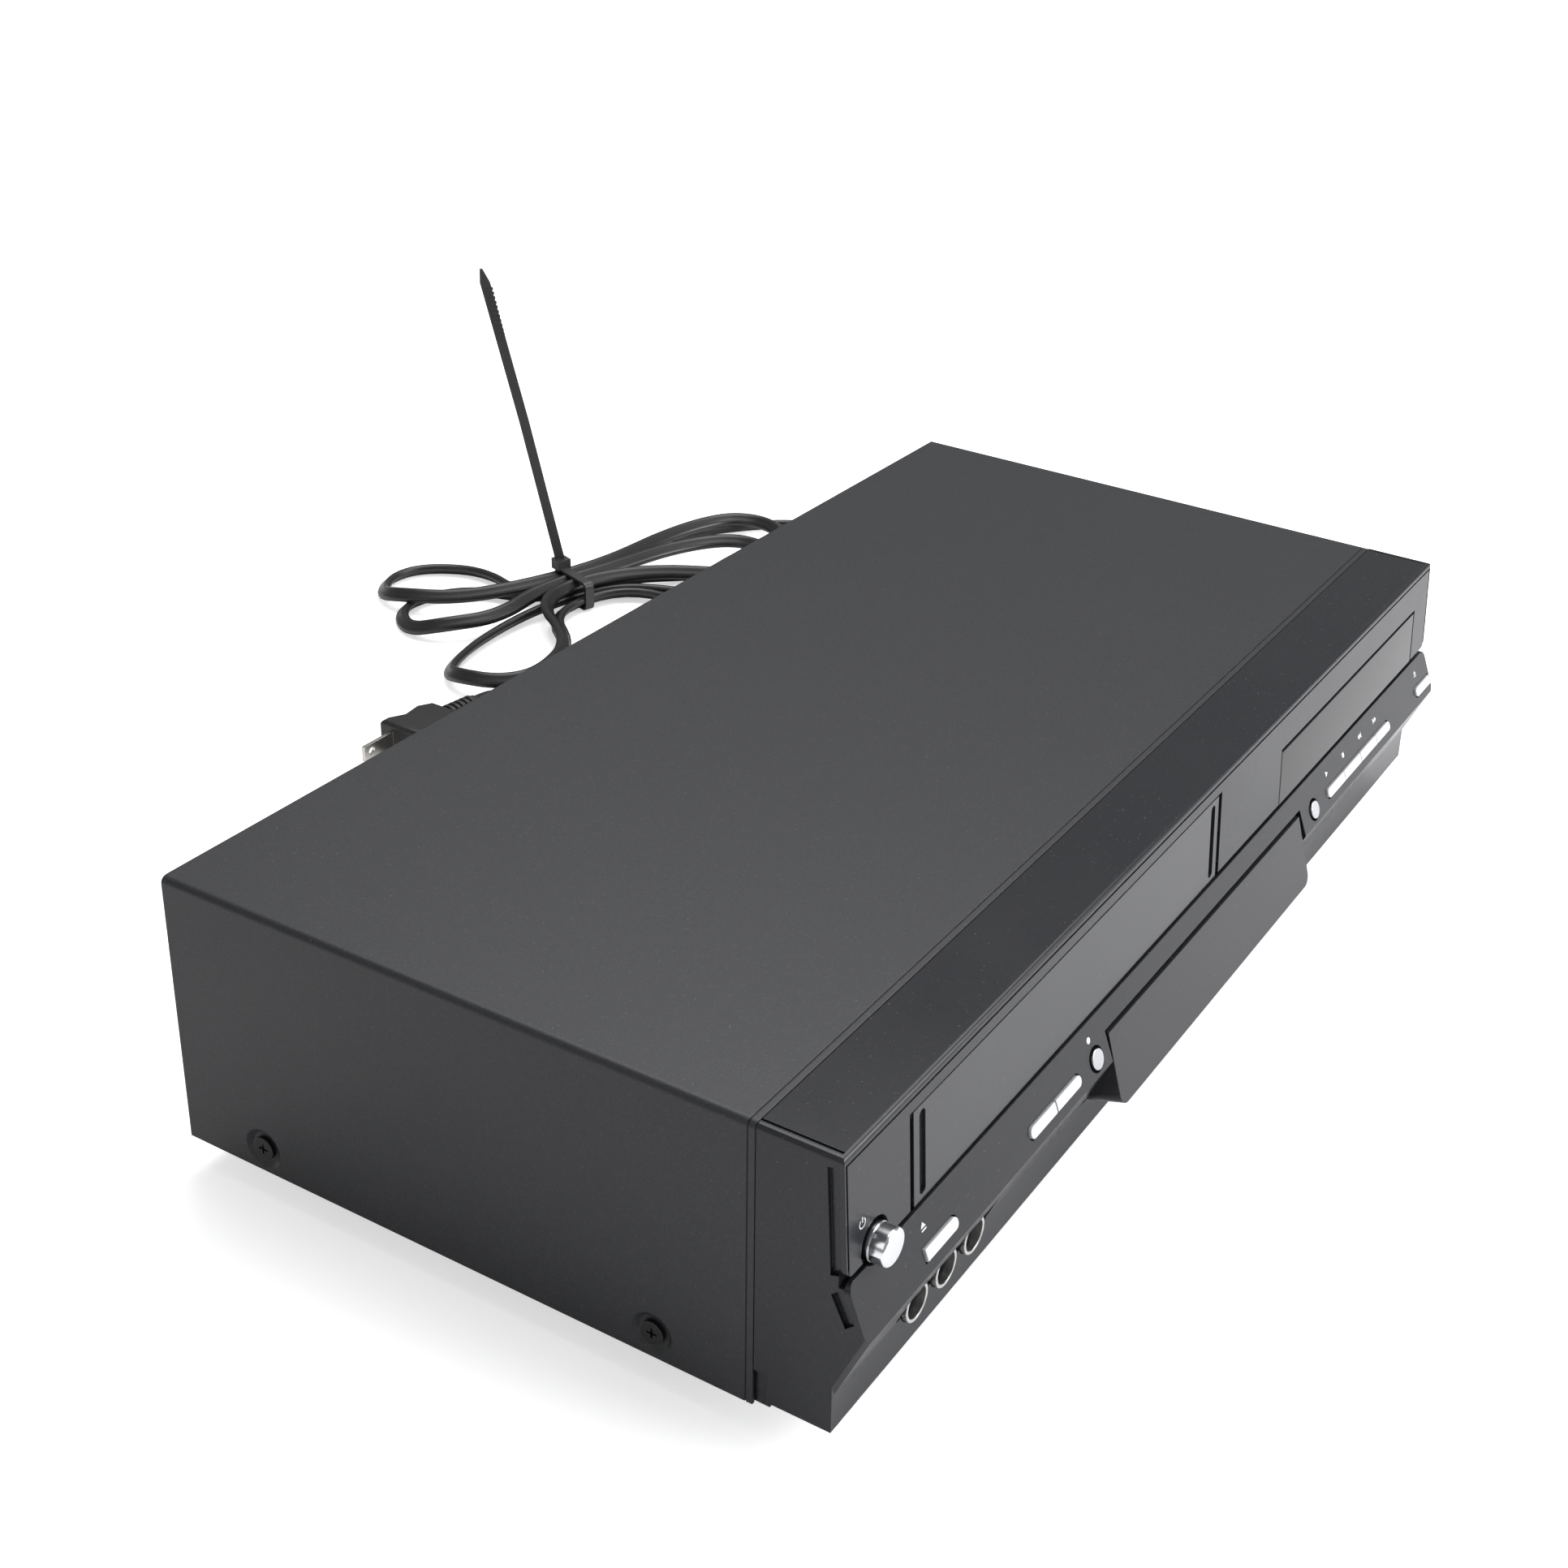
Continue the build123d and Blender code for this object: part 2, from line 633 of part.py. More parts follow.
def make_front_jacks():
    """Socket block with a sleeve in each ring; the pale rings are pieces of their own."""
    face = front + strip_set_back - 1.6
    back = face + 2 * part_gap + strip_set_back + pocket_depth + panel_wall
    body = block(jack_x[0] - 7.4, jack_x[-1] + 7.4, back, back + 8.0, jack_z - 8, jack_z + 7.5)
    for x in jack_x:
        body += rod("y", jack_ring_radius - 0.1, face + jack_ring_length, back, x, jack_z)
        body -= rod("y", jack_hole_radius - 0.4, face, back + 3.0, x, jack_z)
        body += rod("y", 2.2, face + 3.0, back + 4.0, x, jack_z)
        body -= rod("y", jack_pin_hole, face, back + 2.0, x, jack_z)
    return body


def make_jack_rings():
    face = front + strip_set_back - 1.6
    rings = []
    for x in jack_x:
        ring = rod("y", jack_ring_radius - 0.1, face, face + jack_ring_length, x, jack_z)
        rings.append(ring - rod("y", jack_hole_radius, face - 1, face + jack_ring_length + 1, x, jack_z))
    return group(rings)


def make_rear_jacks():
    x0, x1, z0, z1 = jack_block
    face = rear + 0.6
    body = block(x0 + 0.4, x1 - 0.4, rear - 12.0, face, z0 + 0.4, z1 - 0.4)
    for col in range(6):
        for row in range(2):
            x = x0 + 8.5 + 13.0 * col
            z = z0 + 10.0 + 17.0 * row
            body += rod("y", 4.15, face, rear + socket_reach - 0.4, x, z)
            body -= rod("y", 1.6, rear - 8.0, rear + socket_reach, x, z)
    return body


def make_aerial_sockets():
    sockets = []
    for x in aerial_x:
        nut = Pos(x, rear - sheet - 2.0, aerial_z) * Rot(-90, 0, 0) * extrude(RegularPolygon(6.0, 6), amount=2.0)
        barrel = rod("y", aerial_radius, rear, rear + socket_reach, x, aerial_z)
        barrel += rod("y", aerial_shoulder_radius, rear - sheet, rear + aerial_shoulder, x, aerial_z)
        sockets.append(nut + barrel - rod("y", 0.8, rear - 1, rear + socket_reach, x, aerial_z))
    return group(sockets)


def make_tuner_can():
    x0, x1 = aerial_x[0] - 14, aerial_x[-1] + 26
    y1 = rear - sheet - 2.0
    can = block(x0, x1, y1 - 7.0, y1, 33.0, 66.0)
    return can


def make_bushing():
    """Strain relief: a flange each side of the rear panel and a ribbed tail."""
    relief = rod("y", bushing_radius + 1.6, rear, rear + 1.6, cord_exit_x, cord_exit_z)
    relief += rod("y", bushing_radius - 0.1, rear - sheet, rear, cord_exit_x, cord_exit_z)
    relief += rod("y", bushing_radius + 1.0, rear - sheet - 3.0, rear - sheet, cord_exit_x, cord_exit_z)
    tail = Pos(cord_exit_x, rear + 1.6, cord_exit_z) * Rot(-90, 0, 0) * Cone(
        5.6, 4.0, bushing_tail - 1.6, align=(Align.CENTER, Align.CENTER, Align.MIN))
    return relief + tail


# ---- boards ----

def make_main_board():
    board = block(14, board_right, front + 40, front + 150, main_board_z, main_board_z + board_thick)
    for x in (20, board_right - 6):
        for y in (46, 144):
            board -= rod("z", 1.6, main_board_z, main_board_z + board_thick, x, front + y)
            board += rod("z", 3.0, pan_z + sheet, main_board_z, x, front + y)
    return board


def make_board_parts():
    z = main_board_z + board_thick
    chips = []
    for x, y, w, d, h in ((60, 70, 24, 24, 2.6), (100, 72, 20, 20, 2.6), (140, 66, 14, 20, 2.2), (60, 110, 12, 18, 2.2),
                          (170, 100, 26, 18, 3.0), (110, 120, 18, 10, 2.4)):
        chips.append(block(x - w / 2, x + w / 2, front + y - d / 2, front + y + d / 2, z, z + h))
    for x, y, r, h in ((36, 60, 4, 11), (36, 74, 4, 11), (130, 100, 5, 12), (146, 124, 3.2, 9), (90, 130, 4, 11)):
        chips.append(rod("z", r, z, z + h, x, front + y))
    for x in (80, 120, 160):
        chips.append(block(x - 11, x + 11, front + 42, front + 48, z, z + 8.0))
    return group(chips)


def make_power_board():
    board = block(70, power_board_right, front + 156, front + 216, main_board_z, main_board_z + board_thick)
    for x in (76, power_board_right - 20):
        for y in (162, 210):
            board -= rod("z", 1.6, main_board_z, main_board_z + board_thick, x, front + y)
            board += rod("z", 3.0, pan_z + sheet, main_board_z, x, front + y)
    return board


def make_power_parts():
    z = main_board_z + board_thick
    core = block(112, 140, front + 172, front + 200, z, z + 24)
    core += block(108, 144, front + 179, front + 193, z + 4, z + 20)
    big = rod("z", 10.0, z, z + 28, 90, front + 196)
    sink = block(152, 154, front + 166, front + 208, z, z + 28)
    for fin in range(6):
        y = front + 168 + 7.6 * fin
        sink += block(154, 162, y, y + 1.4, z, z + 28)
    fuse = rod("x", 3.0, 170, 192, front + 168, z + 3.5)
    cans = [rod("z", 5.0, z, z + 18, 74 + 13 * i, front + 170) for i in range(2)]
    return group([core, big, sink, fuse] + cans)


def make_front_board():
    place = band_plane(12.0, key_line_z)
    length = 392.0
    board = Pos(0, 1.0, -board_back - board_thick) * Box(length, 16.0, board_thick,
                                                          align=(Align.CENTER, Align.CENTER, Align.MIN))
    return place.location * board


def make_switches():
    parts = []
    for x, length, style in key_list:
        base = Pos(0, 0, -board_back) * Box(switch_size, switch_size, switch_height - 1.0,
                                            align=(Align.CENTER, Align.CENTER, Align.MIN))
        nub = Pos(0, 0, -board_back) * Cylinder(1.7, switch_height, align=(Align.CENTER, Align.CENTER, Align.MIN))
        parts.append(band_plane(x, key_line_z).location * (base + nub))
    mains = block(knob_x - 6, knob_x + 6, front + 14.6, front + 22.0, knob_z - 7.5, knob_z + 5.0)
    parts.append(mains)
    return group(parts)


# ---- disc drive ----

def make_drive_frame():
    y0, y1 = front + drive_front, front + drive_rear
    h = drive_half
    frame = block(tray_x - h, tray_x + h, y0, y1, drive_floor_z, drive_floor_z + drive_wall)
    frame -= block(tray_x - traverse_half - 3, tray_x + traverse_half + 3, front + traverse_front - 5,
                   front + traverse_rear + 4, drive_floor_z, drive_floor_z + drive_wall)
    for side in (-1, 1):
        wall = side * h
        frame += block(tray_x + wall, tray_x + wall - side * drive_wall, y0, y1, drive_floor_z, drive_top_z)
        frame += block(tray_x + wall, tray_x + side * (tray_half - 5.4), y0, y1, tray_z - 2.3, tray_z - part_gap)
        for y in (y0 + 22, y1 - 8):
            frame += block(tray_x + wall - side * 8, tray_x + wall, y - 3, y + 3, pan_z + sheet, drive_floor_z)
        arm_y = front + traverse_rear - 6
        arm = block(tray_x + side * (traverse_half + 1.0), tray_x + side * (traverse_half + 5.0), arm_y - 4, arm_y + 4,
                    drive_floor_z, traverse_z + 6)
        arm -= rod("x", 1.5 + pin_clearance, tray_x - h, tray_x + h, arm_y, traverse_z + 1.0)
        frame += arm
    frame += block(tray_x - h, tray_x + h, y1 - drive_wall, y1, drive_floor_z, drive_top_z - 12)
    frame += rod("z", 2.5, drive_floor_z, tray_z - gear_height - 1.1, tray_x + rack_x - pitch_radius, front + gear_y)
    return frame


def make_tray():
    y0, y1 = front + tray_front_thick - fascia_lean_mid, front + tray_rear
    top = tray_z + tray_thick
    tray = block(tray_x - tray_half, tray_x + tray_half, y0, y1, tray_z, top + 2.6)
    tray -= block(tray_x - tray_half + 3.0, tray_x + tray_half - 3.0, y0 + 3.0, y1 + 1, top, top + 3.0)
    tray -= Pos(tray_x, front + disc_y, top - 1.4) * Cylinder(disc_recess_radius, 5, align=(
        Align.CENTER, Align.CENTER, Align.MIN))
    tray -= Pos(tray_x, front + disc_y, top - 2.0) * Cylinder(small_disc_radius, 5, align=(
        Align.CENTER, Align.CENTER, Align.MIN))
    slot = Pos(tray_x, front + disc_y) * Circle(tray_slot_half)
    slot += Pos(tray_x, front + disc_y + 60) * Rectangle(2 * tray_slot_half, 120)
    tray -= plate_z(slot, tray_z - 1, top + 4)
    rack = block(tray_x + rack_x + 1.25, tray_x + rack_x + 4.0, y0, front + gear_y + tray_travel + 5,
                 tray_z - gear_height, tray_z)
    pitch = math.pi * gear_module
    count = int((tray_travel + 4) / pitch)
    root_x = tray_x + rack_x + 1.3 * gear_module
    for tooth in range(-4, count):
        place = Pos(root_x, front + gear_y + pitch * (tooth + 0.5)) * Rot(0, 0, 90)
        rack += plate_z(place * rack_tooth(gear_module), tray_z - gear_height, tray_z)
    return tray + rack


def gear_outline(module, teeth):
    """A spur gear's outline with a tooth along +X, thinned for backlash."""
    radius = module * teeth / 2
    body = Circle(radius - 1.3 * module)
    for tooth in range(teeth):
        points = [(radius - 1.6 * module, -0.98 * module), (radius - 0.2 * module, -0.68 * module),
                  (radius + 0.75 * module, -0.26 * module), (radius + 0.75 * module, 0.26 * module),
                  (radius - 0.2 * module, 0.68 * module), (radius - 1.6 * module, 0.98 * module)]
        body += Rot(0, 0, 360 / teeth * tooth) * Polygon(*points, align=None)
    return body


def rack_tooth(module):
    """One rack tooth on its root line, which runs along X, 1.3 modules from the pitch line."""
    return Polygon((-0.95 * module, 0), (0.95 * module, 0), (0.38 * module, 2.1 * module),
                   (-0.38 * module, 2.1 * module), align=None)


def make_tray_gear():
    x, y = tray_x + rack_x - pitch_radius, front + gear_y
    body = gear_outline(gear_module, gear_teeth)
    body -= Circle(1.5 + pin_clearance)
    z1 = tray_z - 0.6
    gear = Pos(x, y, 0) * plate_z(body, z1 - gear_height, z1)
    return gear


def make_gear_pin():
    x, y = tray_x + rack_x - pitch_radius, front + gear_y
    return rod("z", 1.5, tray_z - gear_height - 1.1, tray_z - 0.6, x, y)


def make_traverse():
    y0, y1 = front + traverse_front, front + traverse_rear
    plate = block(tray_x - traverse_half, tray_x + traverse_half, y0, y1, traverse_z, traverse_z + traverse_sheet)
    plate = fillet(plate.edges().filter_by(Axis.Z), 6.0)
    plate -= block(tray_x - rod_offset - 3.4, tray_x + rod_offset + 3.4, front + disc_y + 17, y1 - 10,
                   traverse_z, traverse_z + traverse_sheet)
    hinge_y = y1 - 6
    for side in (-1, 1):
        plate += rod("x", 1.5, min(tray_x + side * (traverse_half - 4), tray_x + side * (traverse_half + 4)),
                     max(tray_x + side * (traverse_half - 4), tray_x + side * (traverse_half + 4)),
                     hinge_y, traverse_z + 1.0)
        for y in (front + disc_y + 13, y1 - 12):
            plate += block(tray_x + side * rod_offset - 2.6, tray_x + side * rod_offset + 2.6, y, y + 5,
                           traverse_z + traverse_sheet, rod_z + 2.6)
    plate += rod("z", 13.0, traverse_z - 8.0, traverse_z, tray_x, front + disc_y)
    plate -= rod("z", 1.56, traverse_z - 6.0, traverse_z + traverse_sheet, tray_x, front + disc_y)
    plate += rod("z", 5.0, traverse_z - 12.0, traverse_z, tray_x - 30, front + disc_y + 40)
    return plate


def make_rods():
    y0, y1 = front + disc_y + 18.0, front + traverse_rear - 12
    return group([rod("y", rod_radius, y0, y1, tray_x + side * rod_offset, rod_z) for side in (-1, 1)])


def make_turntable():
    table = rod("z", turntable_radius, turntable_z, turntable_z + 1.8, tray_x, front + disc_y)
    table += rod("z", 7.35, turntable_z + 1.8, turntable_z + 3.0, tray_x, front + disc_y)
    cone = Cone(7.35, 4.0, 1.2, align=(Align.CENTER, Align.CENTER, Align.MIN))
    table += Pos(tray_x, front + disc_y, turntable_z + 3.0) * cone
    table += rod("z", 4.5, traverse_z + traverse_sheet + part_gap, turntable_z, tray_x, front + disc_y)
    table += rod("z", 1.5, traverse_z - 5.0, traverse_z + traverse_sheet + part_gap, tray_x, front + disc_y)
    return table


def make_sled():
    y = front + disc_y + sled_rest
    sled = block(tray_x - sled_half_width, tray_x + sled_half_width, y - sled_half_depth, y + sled_half_depth,
                 traverse_z + traverse_sheet + 0.8, rod_z + 4.0)
    sled = fillet(sled.edges().filter_by(Axis.Z), 3.0)
    for side in (-1, 1):
        sled += block(tray_x + side * (sled_half_width - 1), tray_x + side * (rod_offset + 3.2), y - 7, y + 7,
                      rod_z - 2.8, rod_z + 2.8)
        sled -= rod("y", rod_radius + rod_clearance, y - 20, y + 20, tray_x + side * rod_offset, rod_z)
    sled += rod("z", 5.0, rod_z + 4.0, rod_z + 5.6, tray_x, y)
    sled -= rod("z", 2.6, rod_z + 5.0, rod_z + 5.6, tray_x, y)
    return sled


def make_bridge():
    y0, y1 = front + disc_y - bridge_half_depth, front + disc_y + bridge_half_depth
    bridge = block(tray_x - drive_half, tray_x + drive_half, y0, y1, drive_top_z, drive_top_z + 1.4)
    for y in (y0, y1 - 2.0):
        bridge += block(tray_x - 52, tray_x + 52, y, y + 2.0, drive_top_z + 1.4, drive_top_z + 4)
    bridge -= rod("z", puck_neck + 1.2, drive_top_z - 1, drive_top_z + 3, tray_x, front + disc_y)
    return bridge


def make_puck():
    x, y = tray_x, front + disc_y
    puck = rod("z", puck_radius, drive_top_z + 1.6, drive_top_z + 3.0, x, y)
    puck += rod("z", puck_neck, turntable_z + 5.6, drive_top_z + 1.6, x, y)
    puck -= rod("z", 8.0, turntable_z + 5.6, turntable_z + 7.6, x, y)
    return puck


# ---- tape deck ----

def make_deck():
    y0, y1 = front + deck_front, front + deck_rear
    deck = block(deck_x - deck_half, deck_x + deck_half, y0, y1, deck_z, deck_z + deck_sheet)
    for side in (-1, 1):
        for y in (y0 + 8, y1 - 8):
            deck += rod("z", 3.4, pan_z + sheet, deck_z, deck_x + side * (deck_half - 8), y)
    for x in (deck_x - reel_spacing / 2, deck_x + reel_spacing / 2):
        deck += rod("z", 1.5, deck_z + deck_sheet, deck_z + 16.0, x, front + reel_y)
    deck -= rod("z", capstan_radius + 0.5, deck_z - 1, deck_z + 3, capstan_at[0], capstan_at[1])
    for x in (deck_x - 58, deck_x + 40):
        slot = Pos(x + 9, front + 152) * SlotOverall(50, 5, rotation=60 if x < deck_x - 20 else 120)
        deck -= plate_z(slot, deck_z - 1, deck_z + 3)
    deck += rod("z", 1.6, deck_z, deck_z + 22.0, pinch_at[0], pinch_at[1])
    deck += rod("z", 3.2, deck_z, deck_z + deck_sheet + pinch_collar, pinch_at[0], pinch_at[1])
    return deck


def make_capstan():
    x, y = capstan_at
    wheel = rod("z", 20.0, deck_z - 12.0, deck_z - 6.0, x, y)
    wheel += rod("z", 6.0, deck_z - 6.0, deck_z - 1.0, x, y)
    wheel += rod("z", capstan_radius, deck_z - 1.0, deck_z + 30.0, x, y)
    return wheel


def make_pinch_arm():
    """Arm on its pivot, with the rubber roller held 6 mm off the capstan."""
    x, y = pinch_at
    z = deck_z + deck_sheet + pinch_collar
    roller_x, roller_y = x + pinch_arm_reach[0], y + pinch_arm_reach[1]
    arm = plate_z(Pos(x, y) * Circle(4.0), z, z + 3.0)
    arm += plate_z(Polygon((x - 3, y), (x + 3, y), (roller_x + 3, roller_y), (roller_x - 3, roller_y), align=None),
                   z, z + 3.0)
    arm += plate_z(Pos(roller_x, roller_y) * Circle(4.0), z, z + 3.0)
    arm += rod("z", pinch_roller_radius, z - 9.0, z, roller_x, roller_y)
    arm -= rod("z", 1.6 + pin_clearance, z - 1, z + 4, x, y)
    return arm


def drum_place():
    return Pos(deck_x + 4.0, front + drum_y, deck_z + deck_sheet) * Rot(0, -drum_tilt, 0)


def make_drum_base():
    base = Cylinder(drum_radius, drum_lower_height, align=(Align.CENTER, Align.CENTER, Align.MIN))
    base = Pos(0, 0, 4.0) * base
    base += Pos(0, 0, 4.0 + drum_lower_height) * Cylinder(1.5, drum_upper_height + 2.0,
                                                           align=(Align.CENTER, Align.CENTER, Align.MIN))
    seat = rod("z", 26.0, deck_z + deck_sheet, deck_z + deck_sheet + 6.0, deck_x + 4.0, front + drum_y)
    low = block(deck_x - 60, deck_x + 60, front + drum_y - 40, front + drum_y + 40, deck_z - 9, deck_z + deck_sheet)
    return drum_place() * base + (seat - low)


def make_head_drum():
    lift = 4.0 + drum_lower_height + 0.4
    drum = Cylinder(drum_radius, drum_upper_height, align=(Align.CENTER, Align.CENTER, Align.MIN))
    drum -= Pos(0, 0, drum_upper_height - 1.0) * (Cylinder(27.0, 3.0) - Cylinder(12.0, 3.0))
    drum -= Cylinder(1.5 + pin_clearance, 80.0)
    for tip in range(2):
        drum -= Rot(0, 0, 180 * tip) * Pos(drum_radius, 0, 0) * Box(3.0, 5.0, 4.0)
    return drum_place() * Pos(0, 0, lift) * drum


def make_reel(x):
    y = front + reel_y
    z = deck_z + deck_sheet + part_gap
    reel = rod("z", reel_radius, z, z + 2.6, x, y)
    reel += rod("z", 5.2, z + 2.6, z + 16.0, x, y)
    for fin in range(3):
        reel += Pos(x, y, z + 2.6) * Rot(0, 0, 120 * fin) * Pos(5.6, 0, 0) * Box(
            3.0, 1.4, 11.0, align=(Align.CENTER, Align.CENTER, Align.MIN))
    reel -= rod("z", 1.5 + pin_clearance, z - 1, z + 15.0, x, y)
    return reel


def make_guides():
    posts = []
    for x, y in ((deck_x - 74, 150), (deck_x - 44, 166), (deck_x + 52, 168), (deck_x + 30, 138)):
        post = rod("z", 3.2, deck_z + deck_sheet, deck_z + 8.0, x, front + y)
        post += rod("z", 1.6, deck_z + 8.0, deck_z + 28.0, x, front + y)
        post += rod("z", 2.8, deck_z + 26.0, deck_z + 30.0, x, front + y)
        posts.append(post)
    return group(posts)


def make_loading_frame():
    y0, y1 = front + 30.0, front + 148.0
    base = deck_z + deck_sheet
    solid = None
    for side in (-1, 1):
        wall = block(deck_x + side * bracket_half, deck_x + side * (bracket_half - bracket_sheet), y0 + 4, y1,
                     base, 94.0)
        pin_y = front + holder_front + 20.0
        slot = block(deck_x + side * (bracket_half + 1), deck_x + side * (bracket_half - bracket_sheet - 1),
                     pin_y - 12.0, pin_y + carriage_travel + 12.0,
                     rack_root_z - rack_body - 0.5, rack_root_z + 0.5)
        wall -= slot
        solid = wall if solid is None else solid + wall
    solid += block(deck_x - bracket_half, deck_x + bracket_half, y1 - 16, y1, 94.0 - bracket_sheet, 94.0)
    solid += block(deck_x - bracket_half, deck_x + bracket_half, front + 70, front + 82, 94.0 - bracket_sheet, 94.0)
    solid += rod("x", guide_pin_radius, deck_x - bracket_half - loading_width - 1.2,
                 deck_x - bracket_half + bracket_sheet, front + loading_y, loading_z)
    return solid


def make_slider():
    """The two sliding cheeks that carry the holder in and guide it down."""
    plates = []
    pin_y = front + holder_front + 20.0
    for side in (-1, 1):
        plate = block(deck_x + side * slider_half, deck_x + side * (slider_half - slider_sheet), pin_y - 16, pin_y + 16, 36.0, 84.0)
        plate -= block(deck_x + side * (slider_half + 1), deck_x + side * (slider_half - 2), pin_y - guide_pin_radius - 0.4,
                       pin_y + guide_pin_radius + 0.4, 74.0 - holder_drop - 3.0, 79.0)
        ear_end = bracket_half + 0.4 + loading_width if side < 0 else bracket_half - 0.1
        for start in (pin_y - 9, pin_y + 5):
            plate += block(deck_x + side * slider_half, deck_x + side * ear_end, start, start + 4,
                           rack_root_z - rack_body, rack_root_z)
        plates.append(plate)
    plates[0] += make_loading_rack()
    return group(plates)


def make_loading_rack():
    """Rack on the left slider, outside the bracket and under the pinion."""
    outer = deck_x - bracket_half - 0.4
    rack_rear = front + loading_y + 8.0
    rack = block(outer - loading_width, outer, front + loading_y - carriage_travel - 8.0, rack_rear,
                 rack_root_z - rack_body, rack_root_z)
    pitch = math.pi * loading_module
    face = Plane(origin=(outer - loading_width, front + loading_y, rack_root_z), x_dir=(0, 1, 0),
                 z_dir=(1, 0, 0))
    for tooth in range(-2, int(carriage_travel / pitch) + 2):
        rack += extrude(face * Pos(-pitch * tooth, 0) * rack_tooth(loading_module), amount=loading_width)
    return rack


def make_holder():
    """Sheet box that takes the cassette: side walls, floor ledges, top plate and a back stop."""
    y0, y1 = front + holder_front, front + holder_front + holder_depth
    pin_y = front + holder_front + 20.0
    h, t = holder_half, holder_sheet
    holder = block(deck_x - h, deck_x + h, y0, y1, holder_top_z, holder_top_z + t)
    holder -= block(deck_x - 52, deck_x + 52, y0, y0 + 22, holder_top_z, holder_top_z + t)
    for side in (-1, 1):
        holder += block(deck_x + side * h, deck_x + side * (h - t), y0, y1, holder_floor_z, holder_top_z + t)
        holder += block(deck_x + side * h, deck_x + side * (h - 14), y0, y1, holder_floor_z, holder_floor_z + t)
        holder += block(deck_x + side * h, deck_x + side * (h - 20), y1 - t, y1, holder_floor_z, holder_top_z)
        holder += rod("x", guide_pin_radius, min(deck_x + side * (h - 0.5), deck_x + side * (slider_half)),
                      max(deck_x + side * (h - 0.5), deck_x + side * (slider_half)), pin_y, 74.0)
    return holder


def make_loading_gear():
    """Pinion on the left bracket's outside, which drives the slider's rack."""
    outer = deck_x - bracket_half - 0.4
    body = gear_outline(loading_module, loading_teeth) - Circle(guide_pin_radius + pin_clearance)
    wheel = extrude(body, amount=loading_width)
    half_pitch = 180 / loading_teeth
    return Pos(outer - loading_width, front + loading_y, loading_z) * Rot(0, 90, 0) * Rot(0, 0, half_pitch) * wheel


# ---- cord ----

hank_centre = Vector(hank_x, rear + hank_back, 0)
rows = (cord_radius + floor_clear, cord_radius + floor_clear + layer_pitch)
lead_tip = (cord_exit_x, rear + bushing_tail, cord_exit_z)


def heading(degrees):
    """A level unit vector, turned from +X towards +Y."""
    return Vector(math.cos(math.radians(degrees)), math.sin(math.radians(degrees)), 0)


along = heading(hank_heading)
across = heading(hank_heading + 90)


def hank_stations():
    """Places and headings that the hank passes: in from the right, to and fro through the tie, out on the left."""
    def in_tie(strand):
        column = 1.5 - strand // 2
        return hank_centre + across * (column * strand_pitch) + Vector(0, 0, rows[strand % 2])

    start = in_tie(0) + along * hank_in_along + across * hank_in_across
    stations = [(start, heading(hank_in_heading))]
    for strand in range(7):
        leftward = strand % 2 == 0
        stations.append((in_tie(strand) + Vector(0, 0, tie_lift), along * (-1 if leftward else 1)))
        if strand == 6:
            break
        toward, reach = (left_lobes if leftward else right_lobes)[strand // 2]
        out = heading(toward)
        side = heading(toward + (-90 if leftward else 90))
        middle = hank_centre + out * reach
        low, high = rows[strand % 2], rows[(strand + 1) % 2]
        stations.append((middle + side * lobe_radius + Vector(0, 0, low), out))
        tip = high if strand == early_climb else low
        stations.append((middle + out * lobe_radius + Vector(0, 0, tip), side * -1))
        stations.append((middle - side * lobe_radius + Vector(0, 0, high), out * -1))
    stations.append((Vector(hank_out[0], rear + hank_out[1], rows[0]), heading(hank_out_heading)))
    return stations


def biarc(p0, t0, p1, t1):
    """Two arcs, tangent to each other and to a heading at each end."""
    span = p1 - p0
    both = t0 + t1
    turn = 2 * (1 - t0.dot(t1))
    if turn < 1e-9:
        reach = span.dot(span) / (4 * span.dot(t1))
    else:
        reach = (-span.dot(both) + math.sqrt(span.dot(both) ** 2 + turn * span.dot(span))) / turn
    a, b = p0 + t0 * reach, p1 - t1 * reach
    joint = (a + b) / 2
    return [TangentArc(p0, joint, tangent=t0), TangentArc(joint, p1, tangent=(b - a).normalized())]


def least_gap(edges, step=2.0, apart=25.0):
    """Smallest clear distance between stretches of the cord that are far apart along it."""
    places, run = [], 0.0
    for edge in edges:
        count = max(2, int(edge.length / step))
        places += [(run + edge.length * i / count, edge @ (i / count)) for i in range(count)]
        run += edge.length
    least = min((p - q).length for i, (s, p) in enumerate(places) for t, q in places[i + 1:] if t - s > apart)
    return least - 2 * cord_radius


def tube(path, name):
    """A round tube along a path, with its volume held against section times length."""
    solid = sweep(Plane(origin=path @ 0, z_dir=path % 0) * Circle(cord_radius), path=path)
    ratio = solid.volume / (math.pi * cord_radius ** 2 * path.length)
    print(name, "length", round(path.length, 1), "volume ratio", round(ratio, 4))
    return solid


def route(points, name):
    """Straight runs joined by arcs as large as their shorter run allows."""
    points = [Vector(*p) for p in points]
    radii = []
    for before, here, after in zip(points, points[1:], points[2:]):
        run_in, run_out = here - before, after - here
        half_turn = math.radians(run_in.get_angle(run_out)) / 2
        radii.append(0.45 * min(run_in.length, run_out.length) / math.tan(half_turn))
    print(name, "radii", [round(r, 1) for r in radii])
    return tube(Wire(FilletPolyline(*points, radius=radii).edges()), name)


def make_hank():
    stations = hank_stations()
    edges = []
    for (p0, t0), (p1, t1) in zip(stations, stations[1:]):
        edges += biarc(p0, t0, p1, t1)
    print("hank least gap", round(least_gap(edges), 2))
    return tube(Wire(edges), "hank")


